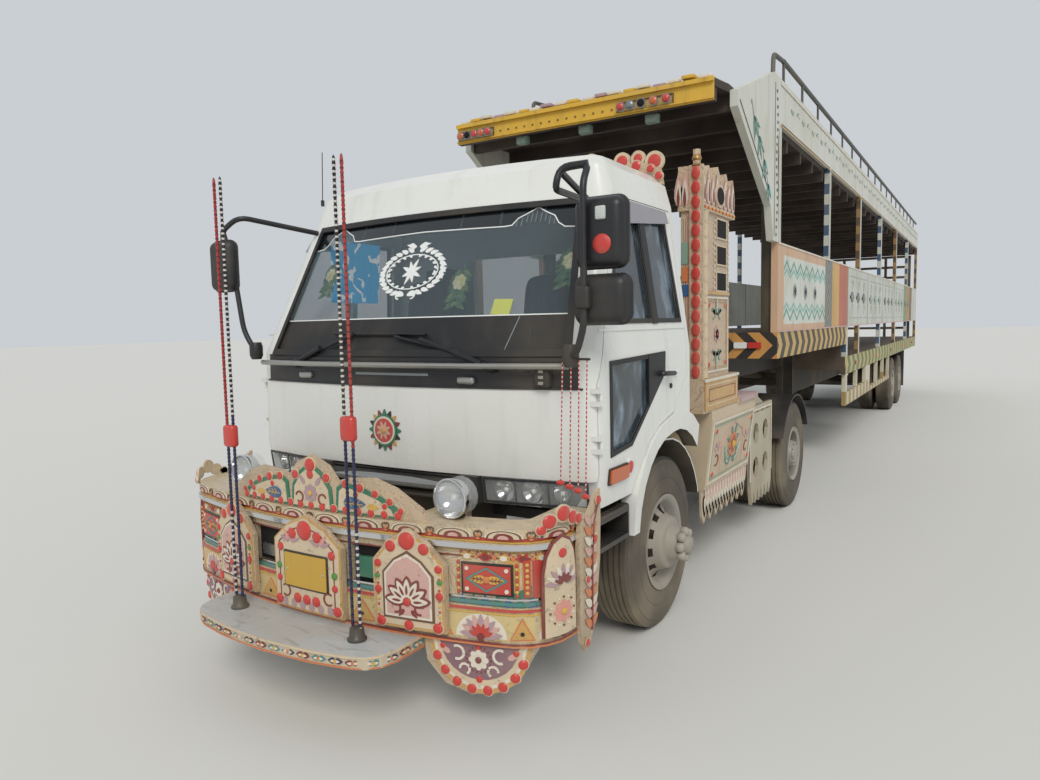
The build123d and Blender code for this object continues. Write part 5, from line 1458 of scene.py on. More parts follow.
side_windows = (
    [(0.338, 1.905), (0.935, 1.905), (0.915, 2.530), (0.622, 2.530)],
    [(0.985, 1.905), (1.400, 1.905), (1.335, 2.530), (0.965, 2.530)],
)
kerb_window = [(0.290, 1.215), (0.560, 1.240), (1.050, 1.600), (1.060, 1.735), (0.290, 1.715)]
visor_smoke = Finish("visor_smoke", "#8E8B92", 0.25, coat=0.3)
visor_smoke.gloss(visor_smoke.noise(5, detail=5).ease(0.4, 0.9) * 0.3 + 0.2)
for name, side in SIDES.items():
    face = on_cab_side(side)
    body = f"door_{name}"
    trim = Relief(face, grain=0.2)
    for outline in [*side_windows, kerb_window] if side > 0 else side_windows:
        trim.stroke(outline, 0.026, window_rubber, 0.006, closed=True)
    trim.board([(0.925, 1.900), (0.995, 1.900), (0.972, 2.535), (0.905, 2.535)], window_rubber, 0.008)
    if side > 0:
        trim.board([(0.800, 1.425), (1.052, 1.605), (1.058, 1.730), (0.800, 1.724)], window_rubber, 0.008)
    trim.stroke([(0.20, 1.868), (1.44, 1.868)], 0.012, cab_white, 0.006)
    trim.done(f"window_rubber_{name}", "black_plastic", body)
    shade = Relief(face, grain=0.2)
    shade.board([(0.50, 2.440), (1.36, 2.520), (1.33, 2.590), (0.60, 2.590)], visor_smoke, 0.022)
    shade.done(f"window_visor_{name}", "black_plastic", body)
    handle = bmesh.new()
    grip = [face(*point) for point in ((0.955, 1.606, 0.004), (0.955, 1.608, 0.040), (1.130, 1.600, 0.040),
                                       (1.130, 1.598, 0.004))]
    merge(handle, bar(grip, 0.015, 0.02, fineness=3))
    lock = lathe(((0, 0), (0, 0.016), (0.008, 0.015), (0.010, 0)), 14)
    merge(handle, lock, face(1.155, 1.520, 0.0), for_side(side), finish=1)
    place(f"door_handle_{name}", handle, body, [black_plastic, window_rubber], "black_plastic")
    lamp = Relief(face, grain=0.2)
    lamp.block((0.262, 1.070), (0.500, 1.160), black_plastic, 0.010, soft=0.012)
    lamp.block((0.270, 1.078), (0.492, 1.152), amber, 0.022, soft=0.010)
    lamp.disc((0.530, 1.128), 0.040, vinyl_white, 0.008, sides=24, squash=1.2)
    lamp.disc((0.530, 1.128), 0.028, lens_red, 0.014, sides=20, squash=1.2, dome=0.006)
    lamp.done(f"side_lamp_{name}", "lamp_lens", body)

# %% Step mesh
tread_black = worn("tread_black", "#232221", 0.5, metallic=0.3, dust=0.3, streaks=0.1, rough=0.4)
STEP_START, STEP_END, STEP_TOP = 0.115, 0.525, 0.919
for name, side in SIDES.items():
    mesh = bmesh.new()
    for number in range(9):
        offset = 0.045 * number
        for lean in (1, -1):
            x_a, x_b = (1.010, 1.238)[::lean]
            start = max(STEP_START, STEP_START + offset - 0.02)
            end = min(STEP_END, STEP_START + offset + 0.09)
            if end - start > 0.05:
                strand = [(side * x_a, at(start), STEP_TOP), (side * x_b, at(end), STEP_TOP)]
                merge(mesh, bar(strand, 0.006, fineness=0))
    rim = [(side * x, at(s), 0.918) for x, s in oblong(1.005, 0.112, 1.240, 0.528)]
    merge(mesh, bar(rim + rim[:1], 0.010, 0.03))
    place(f"step_mesh_{name}", mesh, "tractor", tread_black, "step_metal")

# %% [markdown]
# ## Mirrors
# The mirrors are moulded shells with generous corners on bent black tubes. A box with softened corners,
# drawn in a little towards its front, gives the moulded look, and the glass is set into its rear face. The
# tubes follow the same corners as the CAD node that they replace, with real bends instead of mitres.

# %% Shells, glass and tubes
mirror_glass = Finish("mirror_glass", "#AEB7BC", 0.04, metallic=1.0)
clear_lens = Finish("clear_lens", "#C9CEC9", 0.12, coat=0.6)
clear_lens.emboss((clear_lens.z / 0.010 % 1).ease(0.1, 0.5), 0.001)


def mirror_shell(x, station, z):
    """Gives a moulded housing between two X, two stations and two heights."""
    size = (abs(x[1] - x[0]), station[1] - station[0], z[1] - z[0])
    shell = rounded_box(size, 0.054, 5)
    for vertex in shell.verts:
        if vertex.co.y < 0:
            vertex.co.x *= 0.93
            vertex.co.z *= 0.95
    return shell, Vector((sum(x) / 2, at(sum(station) / 2), sum(z) / 2)), size


mirrors = bmesh.new()
for x, station, z in (((1.205, 1.480), (-0.050, 0.070), (2.160, 2.500)),
                      ((1.200, 1.500), (-0.060, 0.060), (1.900, 2.140)),
                      ((-1.500, -1.270), (-0.050, 0.050), (2.160, 2.500))):
    shell, middle, size = mirror_shell(x, station, z)
    merge(mirrors, shell, middle)
    pane = rounded_box((size[0] - 0.090, 0.006, size[2] - 0.090), 0.0025, 2)
    merge(mirrors, pane, middle + Vector((0, size[1] / 2 - 0.001, 0)), finish=1)
for corners, clamps in (
    (((1.040, 0.500, 2.560), (1.110, 0.020, 2.650), (1.285, 0.000, 2.650), (1.290, -0.072, 2.560),
      (1.290, -0.078, 1.900), (1.235, -0.050, 1.775), (1.170, 0.010, 1.750)), ((1.290, -0.076, 2.03),)),
    (((1.040, 0.500, 2.560), (1.135, -0.060, 2.540), (1.150, -0.030, 2.645), (1.285, -0.010, 2.650)), ()),
    (((-1.040, 0.500, 2.560), (-1.250, 0.020, 2.640), (-1.385, 0.000, 2.560), (-1.385, 0.0, 2.480)), ()),
    (((-1.385, 0.000, 2.560), (-1.330, 0.020, 2.350), (-1.250, 0.020, 1.900), (-1.170, 0.040, 1.770)), ()),
):
    merge(mirrors, bar([(x, at(station), z) for x, station, z in corners], 0.017, 0.09, fineness=3))
    for x, station, z in clamps:
        clamp = rounded_box((0.070, 0.060, 0.105), 0.014)
        merge(mirrors, clamp, (x, at(station), z))
for x, station, z in ((1.170, 0.010, 1.755), (-1.170, 0.045, 1.775)):
    foot = lathe(((-0.055, 0), (-0.055, 0.034), (-0.030, 0.042), (0.030, 0.042), (0.055, 0.030),
                  (0.055, 0)), 20)
    merge(mirrors, foot, (x, at(station), z), Matrix.Rotation(math.radians(90), 4, "Y"))
lens = rounded_box((0.052, 0.022, 0.062), 0.008)
merge(mirrors, lens, (1.367, at(-0.052), 2.412), finish=2)
reflector = lathe(((0, 0), (0, 0.046), (0.006, 0.045), (0.012, 0.034), (0.015, 0.018), (0.016, 0)), 28)
merge(mirrors, reflector, (1.372, at(-0.047), 2.272), TO_FRONT, finish=3)
housings = place("mirrors_moulded", mirrors, "tractor", [black_plastic, mirror_glass, clear_lens, lens_red],
                 "black_plastic", smooth=40)
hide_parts("mirrors")

# %% [markdown]
# ## Whip rods, cords and ribbons
# Two pairs of thin rods stand on the step. The inner rod of a pair is black and white above and navy below,
# the outer one red above and navy with white flecks below, and a red sleeve ties the two. From the grab rail
# four tight cords run down to the bumper's corner.

# %% Beaded rods
rod_black = worn("rod_beads", "#1C1B22", 0.4, dust=0.1, streaks=0.0, rough=0.3)
turns_up = (rod_black.z / 0.026 % 1) < 0.38
rod_black.paint(turns_up * (rod_black.z > 1.48), "#CFCBC0")
rod_black.paint((rod_black.z < 1.48) * ((rod_black.z / 0.040 % 1) < 0.84), "#23284F")
rod_red = worn("rod_red", "#A8322F", 0.4, dust=0.1, streaks=0.0, rough=0.3)
rod_red.paint((rod_red.z / 0.030 % 1) < 0.3, "#6F2624")
rod_red.paint(rod_red.z < 1.37, "#2A2C49")
rod_red.paint((rod_red.z < 0.98) * ((rod_red.z / 0.032 % 1) < 0.4), "#C9C5BA")
ROD_X, ROD_STATION, ROD_GAP, BEAD_PITCH = 0.420, -0.740, 0.024, 0.020
rod_profile = [(0.500, 0.0)]
for row in range(int((2.660 - 0.520) / BEAD_PITCH)):
    level = 0.505 + row * BEAD_PITCH
    rod_profile += [(level, 0.0062), (level + 0.010, 0.0088)]
rod_profile += [(2.670, 0.006), (2.680, 0.0)]
whips = bmesh.new()
for side in (1, -1):
    for offset in (-ROD_GAP, ROD_GAP):
        merge(whips, lathe(rod_profile, 8), (side * ROD_X + offset, at(ROD_STATION), 0), UPWARDS,
              finish=1 if offset * side > 0 else 0)
    sleeve = rounded_box((0.084, 0.046, 0.116), 0.018)
    merge(whips, sleeve, (side * ROD_X, at(ROD_STATION), 1.455 if side > 0 else 1.370), finish=2)
    socket = lathe(((0.455, 0), (0.455, 0.046), (0.470, 0.046), (0.478, 0.036), (0.520, 0.033),
                    (0.526, 0.020), (0.526, 0)), 16)
    merge(whips, socket, (side * ROD_X, at(ROD_STATION), 0), UPWARDS, finish=3)
rods = place("beaded_rods", whips, "tractor", [rod_black, rod_red, lens_red, black_plastic], "whip_steel",
             smooth=50)
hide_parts("whip_rods")

# %% Taut cords to the bumper's corner
cord_paint = Finish("cord_red_white", "#B8302D", 0.6)
cord_paint.paint((cord_paint.z / 0.022 % 1) < 0.33, "#E4DFD6")
cord_paint.emboss((cord_paint.z / 0.008 % 1).ease(0.2, 0.6), 0.001)
cords = bmesh.new()
for x_top, x_low, z_low in ((1.150, 1.150, 1.135), (1.197, 1.200, 1.120), (1.240, 1.245, 1.105),
                            (1.283, 1.285, 1.080)):
    merge(cords, bar([(x_top - 0.02, at(0.0), 1.735), (x_low, at(-0.075), z_low)], 0.0030, fineness=1))
    knot = lathe(((-0.020, 0), (-0.018, 0.010), (0, 0.015), (0.018, 0.010), (0.020, 0)), 10)
    merge(cords, knot, (x_low, at(-0.075), z_low + 0.012), finish=1)
merge(cords, bar([(1.120, at(0.006), 1.740), (1.280, at(-0.002), 1.740)], 0.006), finish=2)
place("taut_cords", cords, "tractor", [cord_paint, lens_red, black_plastic], "whip_steel")

# %% Tassels of reflectors on the bumper's corner
tassels = Relief(lifted(RAIL_OUT + 0.012), grain=0.2)
for sign in (1, -1):
    for along, z, radius in ((1.270, 1.035, 0.030), (1.340, 1.060, 0.034), (1.400, 1.030, 0.030),
                             (1.235, 1.000, 0.020), (1.455, 1.010, 0.024)):
        tassels.reflector((sign * along, z), radius)
tassels.done("corner_reflectors")

# %% [markdown]
# ## Inside the cab
# The seats show through the glass. A cushion is a box that is cut finely, swollen between its edges and
# pulled in along sewn lines. At the right-hand window hangs a blue cloth with white blossoms, and small green
# garlands hang from the roof edge.

# %% Seats
seat_piping = Finish("seat_piping", "#B9A58C", 0.8)
seat_piping.emboss(seat_piping.noise(200, detail=1), 0.0006)


def cushion(x, station, z, lean, channels):
    """Gives a padded block between two corners, crowned, with sewn channels across it."""
    mesh = bmesh.new()
    bmesh.ops.create_cube(mesh, size=1)
    bmesh.ops.subdivide_edges(mesh, edges=list(mesh.edges), cuts=19, use_grid_fill=True)
    size = Vector((x[1] - x[0], station[1] - station[0], z[1] - z[0]))
    for vertex in mesh.verts:
        flat = vertex.co.copy()
        crown = [1 - abs(2 * value) ** 2.6 for value in flat]
        groove = abs(math.sin(math.pi * channels * (flat.x + 0.5))) ** 0.35
        for axis in range(3):
            if abs(flat[axis]) > 0.49:
                swell = max(0, min(crown[other] for other in range(3) if other != axis)) ** 0.5
                vertex.co[axis] *= 0.86 + 0.14 * swell * (0.55 + 0.45 * groove)
        vertex.co *= 1 - 0.10 * (abs(2 * flat.x) ** 6) * (abs(2 * flat.z) ** 6)
    bmesh.ops.scale(mesh, vec=size, verts=mesh.verts)
    middle = Vector((sum(x) / 2, at(sum(station) / 2), sum(z) / 2))
    turn = Matrix.Rotation(math.radians(lean), 4, "X")
    bmesh.ops.transform(mesh, matrix=Matrix.Translation(middle) @ turn, verts=mesh.verts)
    return mesh


def upholstered(name, *cushion_sizes):
    """Places one cushion of a seat."""
    return place(name, cushion(*cushion_sizes), "tractor", [seat_cloth], "seat_fabric", smooth=60, levels=1)


seats = (("driver", -0.620, 0.520, 4), ("passenger", 0.520, 0.760, 6))
seat_bases = bmesh.new()
for name, middle, width, channels in seats:
    span = (middle - width / 2, middle + width / 2)
    squab = upholstered(f"seat_squab_{name}", span, (0.760, 1.200), (1.430, 1.640), 0, channels)
    back = upholstered(f"seat_back_{name}", span, (1.180, 1.330), (1.640, 2.250), -9, channels)
    head = (middle - 0.14, middle + 0.14)
    rest = upholstered(f"head_rest_{name}", head, (1.290, 1.370), (2.235, 2.330), -9, 2)
    if name == "driver":
        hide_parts("cab_seats")
    base = rounded_box((width - 0.06, 0.420, 0.220), 0.020)
    merge(seat_bases, base, (middle, at(0.990), 1.335))
place("seat_bases", seat_bases, "tractor", black_plastic, "dash_plastic")

# %% Cloth at the right-hand window
def sunlit(finish, strength):
    """Lets a thin cloth or leaf glow faintly in its own colour, as it does with the sun behind it."""
    finish.tree.links.new(finish.painted, finish.shader.inputs["Emission Color"])
    finish.shader.inputs["Emission Strength"].default_value = strength


blossom_blue = Finish("blossom_cloth", "#18A0D6", 0.85)
petal_cells = blossom_blue.noise(9.0, detail=2, warp=1.2)
blossom_blue.paint(petal_cells.ease(0.55, 0.58), "#E9EEF0")
blossom_blue.paint((blossom_blue.z / 0.004 % 1).inside(0.0, 0.3) * 0.12, "#123C52")
blossom_blue.shader.inputs["Sheen Weight"].default_value = 0.2
sunlit(blossom_blue, 0.55)
cloth = bmesh.new()
bmesh.ops.create_grid(cloth, x_segments=48, y_segments=24, size=0.5)
for vertex in cloth.verts:
    along, down = vertex.co.x + 0.5, 0.5 - vertex.co.y
    fold = math.sin(along * math.tau * 5.5 + down * 0.9) * 0.012 * (0.35 + 0.65 * down)
    vertex.co = Vector((-1.050 + fold + 0.06 * (1 - down) * 0.5, at(0.600 + along * 0.500),
                        2.520 - down * 0.430))
cloth_piece = place("blossom_cloth", cloth, "door_right", [blossom_blue], "seat_fabric", smooth=80)
thickness = cloth_piece.modifiers.new("thickness", "SOLIDIFY")
thickness.thickness = 0.0012

# %% Garlands
leaf_green = Finish("leaf_green", "#4E7148", 0.6)
leaf_green.paint(leaf_green.noise(30, detail=2).ease(0.45, 0.65), "#7F9A62")
blossom_yellow = Finish("blossom_yellow", "#C9C88A", 0.6)
blossom_yellow.paint(blossom_yellow.noise(26, detail=2).ease(0.4, 0.6), "#E4DFC0")
sunlit(leaf_green, 0.12)
sunlit(blossom_yellow, 0.25)
for number, (x, z) in enumerate(((-0.860, 2.285), (0.290, 2.180), (0.950, 2.270))):
    garland = Relief(lambda along, height, out, x=x, z=z: on_cab_front(x + along, z + height, out - 0.10),
                     grain=1)
    garland.stroke([(0, 0.0), (0.004, 0.14)], 0.005, leaf_green, 0.004)
    for row, level in enumerate(spread(0.09, -0.09, 7)):
        for side in (1, -1):
            turn = -90 + side * (58 + 8 * (row % 2))
            garland.petal((0, level), 0.085, 0.034, turn, leaf_green, 0.003 * (row % 3 + 1))
    for count, start, length, width, out in ((7, 10, 0.046, 0.034, 0.012), (5, 30, 0.028, 0.022, 0.020)):
        for turn in ring(count, start + number * 20):
            garland.petal((0.0, 0.02), length, width, turn, blossom_yellow, out, 0.3)
    garland.done(f"garland_{number + 1}", "seat_fabric")

# %% Antenna and crest of the roof
antenna = bmesh.new()
merge(antenna, bar([(-1.085, at(0.60), 2.790), (-1.090, at(0.620), 3.130)], 0.0035, fineness=1))
merge(antenna, bar([(-1.085, at(0.60), 2.760), (-1.085, at(0.60), 2.800)], 0.012), finish=0)
place("antenna", antenna, "tractor", black_plastic, "black_plastic")
CREST_FRONT, CREST_MIDDLE = 1.465, 1.480
roof_line = Relief(front_face(CREST_FRONT), grain=0.2)
for x, z, radius in ((0.0, 2.925, 0.026), (0.10, 2.892, 0.020), (-0.10, 2.892, 0.020), (0.22, 2.900, 0.022),
                     (0.34, 2.925, 0.024), (0.45, 2.945, 0.030), (0.56, 2.925, 0.024), (0.68, 2.900, 0.022),
                     (0.79, 2.915, 0.026), (0.90, 2.925, 0.032), (1.00, 2.895, 0.026), (1.055, 2.845, 0.026)):
    for side in (1, -1) if x > 0.12 else (1,):
        roof_line.reflector((side * x, z), radius)
for x in spread(-1.0, 1.0, 41):
    root = (x, 2.862 if abs(x) < 0.98 else 2.835)
    roof_line.petal(root, 0.030, 0.022, 90, pink if int(x * 20) % 2 else mauve, 0.004)
roof_line.done("roof_reflectors")
crest_tops = ((-1.08, 2.79), (-1.06, 2.90), (-0.90, 2.96), (-0.70, 2.93), (-0.45, 2.98), (-0.15, 2.91),
              (0.0, 2.96), (0.15, 2.91), (0.45, 2.98), (0.70, 2.93), (0.90, 2.96), (1.06, 2.90), (1.08, 2.79))
lobes = bmesh.new()
for number, x in enumerate(spread(-1.02, 1.02, 19)):
    runs = zip(crest_tops, crest_tops[1:])
    (low_x, low_z), (high_x, high_z) = next(run for run in runs if run[1][0] >= x)
    top = low_z + (high_z - low_z) * (x - low_x) / (high_x - low_x)
    size = (0.040, 0.030, 0.046, 0.032)[number % 4]
    spot = (x, at(CREST_MIDDLE), top + size * 0.6)
    disc = lathe(((-0.011, 0), (-0.011, size + 0.020), (0.011, size + 0.020), (0.011, 0)), 20)
    merge(lobes, disc, spot, TO_FRONT)
    for facing in (0, 180):
        lens = lathe(((0.010, 0), (0.010, size), (0.017, size * 0.9), (0.022, size * 0.5), (0.024, 0)), 20)
        merge(lobes, lens, spot, TO_FRONT @ Matrix.Rotation(math.radians(facing), 4, "Z"), finish=1)
place("crest_lobes", lobes, "tractor", [cream, lens_red], "painted_board")

# %% [markdown]
# ## Towers behind the cab
# Behind each door stands a carved tower. Its front edge carries a stack of red oval reflectors, its head is a
# crown of painted leaves, and its sides are panelled in cream with faded scrolls over an ochre foot.

# %% Front edge and column
shadow = Finish("deep_shadow", "#161312", 0.9)
oval_red = worn("oval_red", "#C23A31", 0.18, coat=0.5, dust=0.15, streaks=0.1, rough=0.14, ground_dust=0.1)
oval_red.emboss(oval_red.noise(300, detail=0), 0.001)
TOWER_EDGE, TOWER_FRONT = 1.8215, 1.849
PANEL_X, CROWN_X, FOOT_X = 1.200, 1.210, 1.240
for name, side in SIDES.items():
    edge = Relief(front_face(TOWER_EDGE), grain=0.2)
    for z in spread(1.560, 2.905, 15):
        edge.disc((side * 1.178, z), 0.034, cream, 0.006, squash=1.40, sides=20)
        edge.disc((side * 1.178, z), 0.030, oval_red, 0.013, squash=1.52, sides=20, dome=0.008)
    edge.done(f"oval_reflectors_{name}", "tower_paint")
    ribs = Relief(front_face(TOWER_FRONT), grain=0.2)
    for x in spread(1.068, 1.118, 4):
        ribs.stroke([(side * x, 1.60), (side * x, 2.62)], 0.008, cream if x < 1.1 else faded_pink, 0.010)
    for low, high, finish in ((2.30, 2.45, faded_green), (2.18, 2.28, orange), (2.08, 2.16, blue)):
        ribs.block((side * 1.070, low), (side * 1.115, high), finish, 0.016, 0.008)
    for row, (tall, wide, finish) in enumerate(((0.235, 0.060, faded_pink), (0.185, 0.040, ivory),
                                                (0.130, 0.020, maroon))):
        for x in (1.052, 1.098):
            ribs.petal((side * x, 2.690), tall, wide, 90, finish, 0.022 + row * 0.004, 0.9, sides=12)
    ribs.done(f"tower_ribs_{name}", "tower_paint")

    column = bmesh.new()
    profile = [(1.512, 0.0), (1.512, 0.034)]
    for number, z in enumerate(spread(1.53, 2.63, 23)):
        profile += [(z, 0.026 if number % 2 else 0.032)]
    profile += [(2.655, 0.034), (2.662, 0.0)]
    merge(column, lathe(profile, 14), (side * 1.205, at(1.900), 0), UPWARDS)
    finial = lathe(((2.955, 0), (2.955, 0.034), (2.975, 0.020), (3.000, 0.034), (3.025, 0.026),
                    (3.040, 0.010), (3.060, 0.004), (3.062, 0.0)), 16)
    merge(column, finial, (side * 1.178, at(1.836), 0), UPWARDS, finish=1)
    place(f"tower_column_{name}", column, "tractor", [cream, brass], "tower_paint", smooth=40)

    wall_side = Relief(side_face(side * PANEL_X), grain=0.3)
    wall_side.stroke(oblong(1.950, 1.540, 2.470, 2.080), 0.014, ivory, 0.008, closed=True)
    wall_side.stroke(oblong(1.980, 1.570, 2.440, 2.050), 0.006, ochre, 0.006, closed=True)
    for z in (1.66, 1.96):
        leaf(wall_side, (2.205, z), 0.130, 90 if z > 1.8 else -90, faded_green, ivory, 0.36, 0.005)
        for turn in (1, -1):
            centre = (2.205 + turn * 0.075, z)
            wall_side.scroll(centre, 0.042, 60, 200, turn, 0.009, faded_green, 0.006, steps=14)
            wall_side.petal((2.205, z), 0.120, 0.036, 90 - turn * 75, faded_green, 0.004, 0.8)
    flower(wall_side, (2.205, 1.810), 0.060, faded_pink, maroon, 8, 0.006)
    for s, z in ((2.010, 1.600), (2.410, 1.600), (2.010, 2.020), (2.410, 2.020), (1.945, 2.140),
                 (1.945, 2.60)):
        wall_side.reflector((s, z), 0.015)
    for z in (2.190, 2.380, 2.570):
        wall_side.board(oblong(2.192, z - 0.064, 2.418, z + 0.064), shadow, 0.001)
        wall_side.stroke(oblong(2.180, z - 0.075, 2.430, z + 0.075), 0.012, cream, 0.008, closed=True)
    for z in spread(2.14, 2.62, 13):
        for s in (2.145, 2.470):
            wall_side.disc((s, z), 0.011, ivory if int(z * 50) % 2 else faded_pink, 0.008, sides=8)
    wall_side.block((1.940, 2.095), (2.495, 2.118), ochre, 0.010)
    wall_side.done(f"tower_panels_{name}", "tower_paint")

    crown = Relief(side_face(side * CROWN_X), grain=0.3)
    for number, s in enumerate(spread(1.880, 2.550, 8)):
        crown.petal((s, 2.700), 0.250 if number % 2 else 0.215, 0.086, 90, faded_pink, 0.006, 0.9, sides=16)
        crown.petal((s, 2.715), 0.195 if number % 2 else 0.165, 0.056, 90, ivory, 0.010, 0.9, sides=16)
        crown.petal((s, 2.730), 0.130 if number % 2 else 0.105, 0.030, 90, maroon, 0.013, 0.9, sides=12)
    crown.block((1.845, 2.664), (2.585, 2.706), cream, 0.010, soft=0.010)
    beads(crown, [(s, 2.685) for s in spread(1.870, 2.560, 18)], 0.012, (red, yellow), 0.014)
    for radius, finish, height in ((0.108, cream, 0.014), (0.092, faded_pink, 0.016), (0.080, shadow, 0.018)):
        crown.disc((2.215, 2.795), radius, finish, height, squash=0.76, sides=24)
    crown.done(f"tower_crown_{name}", "tower_paint")

    foot = Relief(side_face(side * FOOT_X), grain=0.3)
    foot.block((1.815, 1.285), (2.585, 1.495), ochre, 0.008, soft=0.010)
    foot.stroke(oblong(1.850, 1.315, 2.550, 1.465), 0.010, cream, 0.012, closed=True)
    foot.stroke(oblong(1.885, 1.345, 2.515, 1.435), 0.005, maroon, 0.011, closed=True)
    foot.block((1.805, 1.488), (2.595, 1.508), ivory, 0.016)
    foot.done(f"tower_foot_{name}", "tower_paint")

# %% [markdown]
# ## Tool box, tank guards and flaps
# Under the towers hang tool boxes with a mauve lid and a flower on the side. The flaps below them are cut
# into feathers. Pierced pale guards cover the fuel tanks.

# %% Boxes, guards, feathers
def on_box(side):
    """Gives the face function of a tool box's side, which leans out towards its lid."""
    def face(station, height, out):
        return Vector((side * (1.250 + (height - 1.200) * 0.120 + out), at(station), height))
    return face


lid_mauve = worn("lid_mauve", "#B79C9F", 0.45, dust=0.35, streaks=0.3, rough=0.4)
BLOOM = (2.540, 0.956)
LID_X, FLAP_X, GUARD_X = 1.262, 1.166, 1.180
for name, side in SIDES.items():
    box = Relief(on_box(side), grain=0.15)
    box.stroke(oblong(2.000, 0.730, 3.060, 1.185), 0.016, ivory, 0.006, closed=True)
    box.stroke(oblong(2.030, 0.760, 3.030, 1.155), 0.007, faded_green, 0.005, closed=True)
    arch = [(2.250, 0.780), (2.250, 0.980), (2.310, 1.060), (2.400, 1.090), (2.540, 1.140), (2.680, 1.090),
            (2.770, 1.060), (2.830, 0.980), (2.830, 0.780)]
    box.stroke(arch, 0.010, faded_pink, 0.006)
    flower(box, BLOOM, 0.100, orange, yellow, 8, 0.008)
    for turn in ring(8, 22.5):
        angle = math.radians(turn)
        root = (BLOOM[0] + 0.095 * math.cos(angle), BLOOM[1] + 0.095 * math.sin(angle))
        box.petal(root, 0.070, 0.028, turn, teal, 0.006, 0.8)
    for turn in (1, -1):
        leaf(box, (BLOOM[0] + turn * 0.120, 0.860), 0.130, 90 - turn * 38, faded_green, ivory, 0.40, 0.006)
        leaf(box, (BLOOM[0] + turn * 0.060, 0.820), 0.120, 90 - turn * 70, teal, ivory, 0.36, 0.006)
        away = BLOOM[0] + turn * 0.385
        fan(box, (away, 0.960), (0.01, 0.080), spread(20, 160, 5), 0.026, (faded_pink, mauve), 0.006)
        box.scroll((away, 0.890), 0.045, 40, 220, turn, 0.008, maroon, 0.006)
    for s, z in ((2.070, 0.800), (2.990, 0.800), (2.070, 1.115), (2.990, 1.115)):
        box.reflector((s, z), 0.018)
    box.done(f"box_flower_{name}", "box_paint")
    lid = Relief(side_face(side * LID_X), grain=0.3)
    lid.block((2.604, 1.272), (3.112, 1.308), lid_mauve, 0.006)
    lid.done(f"box_lid_edge_{name}", "box_paint")
    cover = bmesh.new()
    skin = rounded_box((0.470, 0.512, 0.010), 0.004, 2)
    merge(cover, skin, (side * 1.027, at(2.858), 1.314))
    place(f"box_lid_{name}", cover, "tractor", lid_mauve, "box_paint")
    feathers = Relief(side_face(side * FLAP_X), grain=0.3)
    for row, (low, finish, inner) in enumerate(((0.520, faded_pink, ivory), (0.600, ivory, faded_pink))):
        for s in spread(2.030 + row * 0.035, 3.030 + row * 0.035, 15):
            feathers.petal((s, low + 0.130), 0.170, 0.070, -90, finish, 0.004 + row * 0.006, 0.85, sides=12)
            feathers.petal((s, low + 0.110), 0.110, 0.030, -90, inner, 0.007 + row * 0.006, 0.85, sides=10)
    feathers.block((1.975, 0.715), (3.085, 0.738), maroon, 0.016)
    beads(feathers, [(s, 0.727) for s in spread(2.00, 3.06, 22)], 0.009, (yellow, red), 0.018)
    feathers.done(f"feathered_flap_{name}", "box_paint")
    guard = Relief(side_face(side * GUARD_X), grain=0.3)
    guard.stroke([(3.195, 0.520), (3.195, 1.135), (3.925, 1.135), (3.925, 0.520)], 0.016, ivory, 0.008)
    for number, s in enumerate(spread(3.235, 3.885, 12)):
        guard.disc((s, 1.112), 0.012, (maroon, faded_green, ochre)[number % 3], 0.006, sides=10, dome=0.003)
    guard.done(f"guard_trim_{name}", "tank_metal")
    tank = bmesh.new()
    neck = lathe(((0, 0), (0, 0.050), (0.030, 0.050), (0.034, 0.062), (0.062, 0.062), (0.066, 0.052),
                  (0.066, 0)), 24)
    merge(tank, neck, (side * 1.02, at(3.30), 1.155), UPWARDS)
    place(f"tank_cap_{name}", tank, "tractor", dull_steel, "tank_metal")

# %% [markdown]
# ## Trailer: lamps, leaves and edges
# The platform's yellow lip carries two rows of lamps. Pale wing boards hold it up and are painted with
# sea-green sprays and a line of dark dots. Small lamps hang below the lip, and the front beam has one more.

# %% Lamps on the lip
LIP_FACE, LIP_EDGE, BEAM_FACE = 2.2545, 2.2995, 3.8395
TRAILER_SIDE_X, BELT_X = 1.250, 1.2505
lip = Relief(front_face(LIP_FACE), grain=0.3)
lens_order = {-1.09: amber, -1.02: shadow, -0.945: lens_red, -0.875: amber, -0.805: lens_red,
              0.43: lens_red, 0.51: lamp_back, 0.60: shadow, 0.70: amber, 0.80: lens_red}
LAMP_ROW = 3.560
for x, finish in lens_order.items():
    lip.disc((x, LAMP_ROW), 0.0365, lamp_back, 0.004, sides=24)
    lip.disc((x, LAMP_ROW), 0.030, finish, 0.006, sides=24, dome=0.012)
lip.done("lip_lamps", "lamp_lens", "trailer")
lip_edge = Relief(front_face(LIP_EDGE), grain=0.3)
lip_yellow = worn("lip_yellow", "#D9AE3C", 0.4, dust=0.2, streaks=0.45, rough=0.35, dark="#6F4A2A")
lip_edge.block((-1.150, 3.632), (1.150, 3.664), lip_yellow, 0.026, soft=0.006)
lip_edge.block((-1.150, 3.512), (1.150, 3.524), lip_yellow, 0.014)
for low, high in ((-1.135, -0.765), (0.385, 0.845)):
    lip_edge.stroke(oblong(low, 3.520, high, 3.602), 0.008, brown, 0.010, closed=True)
for x in spread(-0.70, 0.34, 14):
    lip_edge.disc((x, LAMP_ROW), 0.008, brown, 0.006, sides=8)
lip_edge.done("lip_edge", "deck_paint", "trailer")
hanging = bmesh.new()
for x, s in ((-0.55, 2.42), (0.05, 2.42), (0.62, 2.44)):
    lamp_box = rounded_box((0.110, 0.060, 0.072), 0.014)
    merge(hanging, lamp_box, (x, at(s), 3.478))
    pane = rounded_box((0.094, 0.010, 0.054), 0.004, 2)
    merge(hanging, pane, (x, at(s - 0.031), 3.478), finish=1)
place("under_lip_lamps", hanging, "trailer", [faded_green, lamp_glass], "lamp_lens")
planks = bmesh.new()
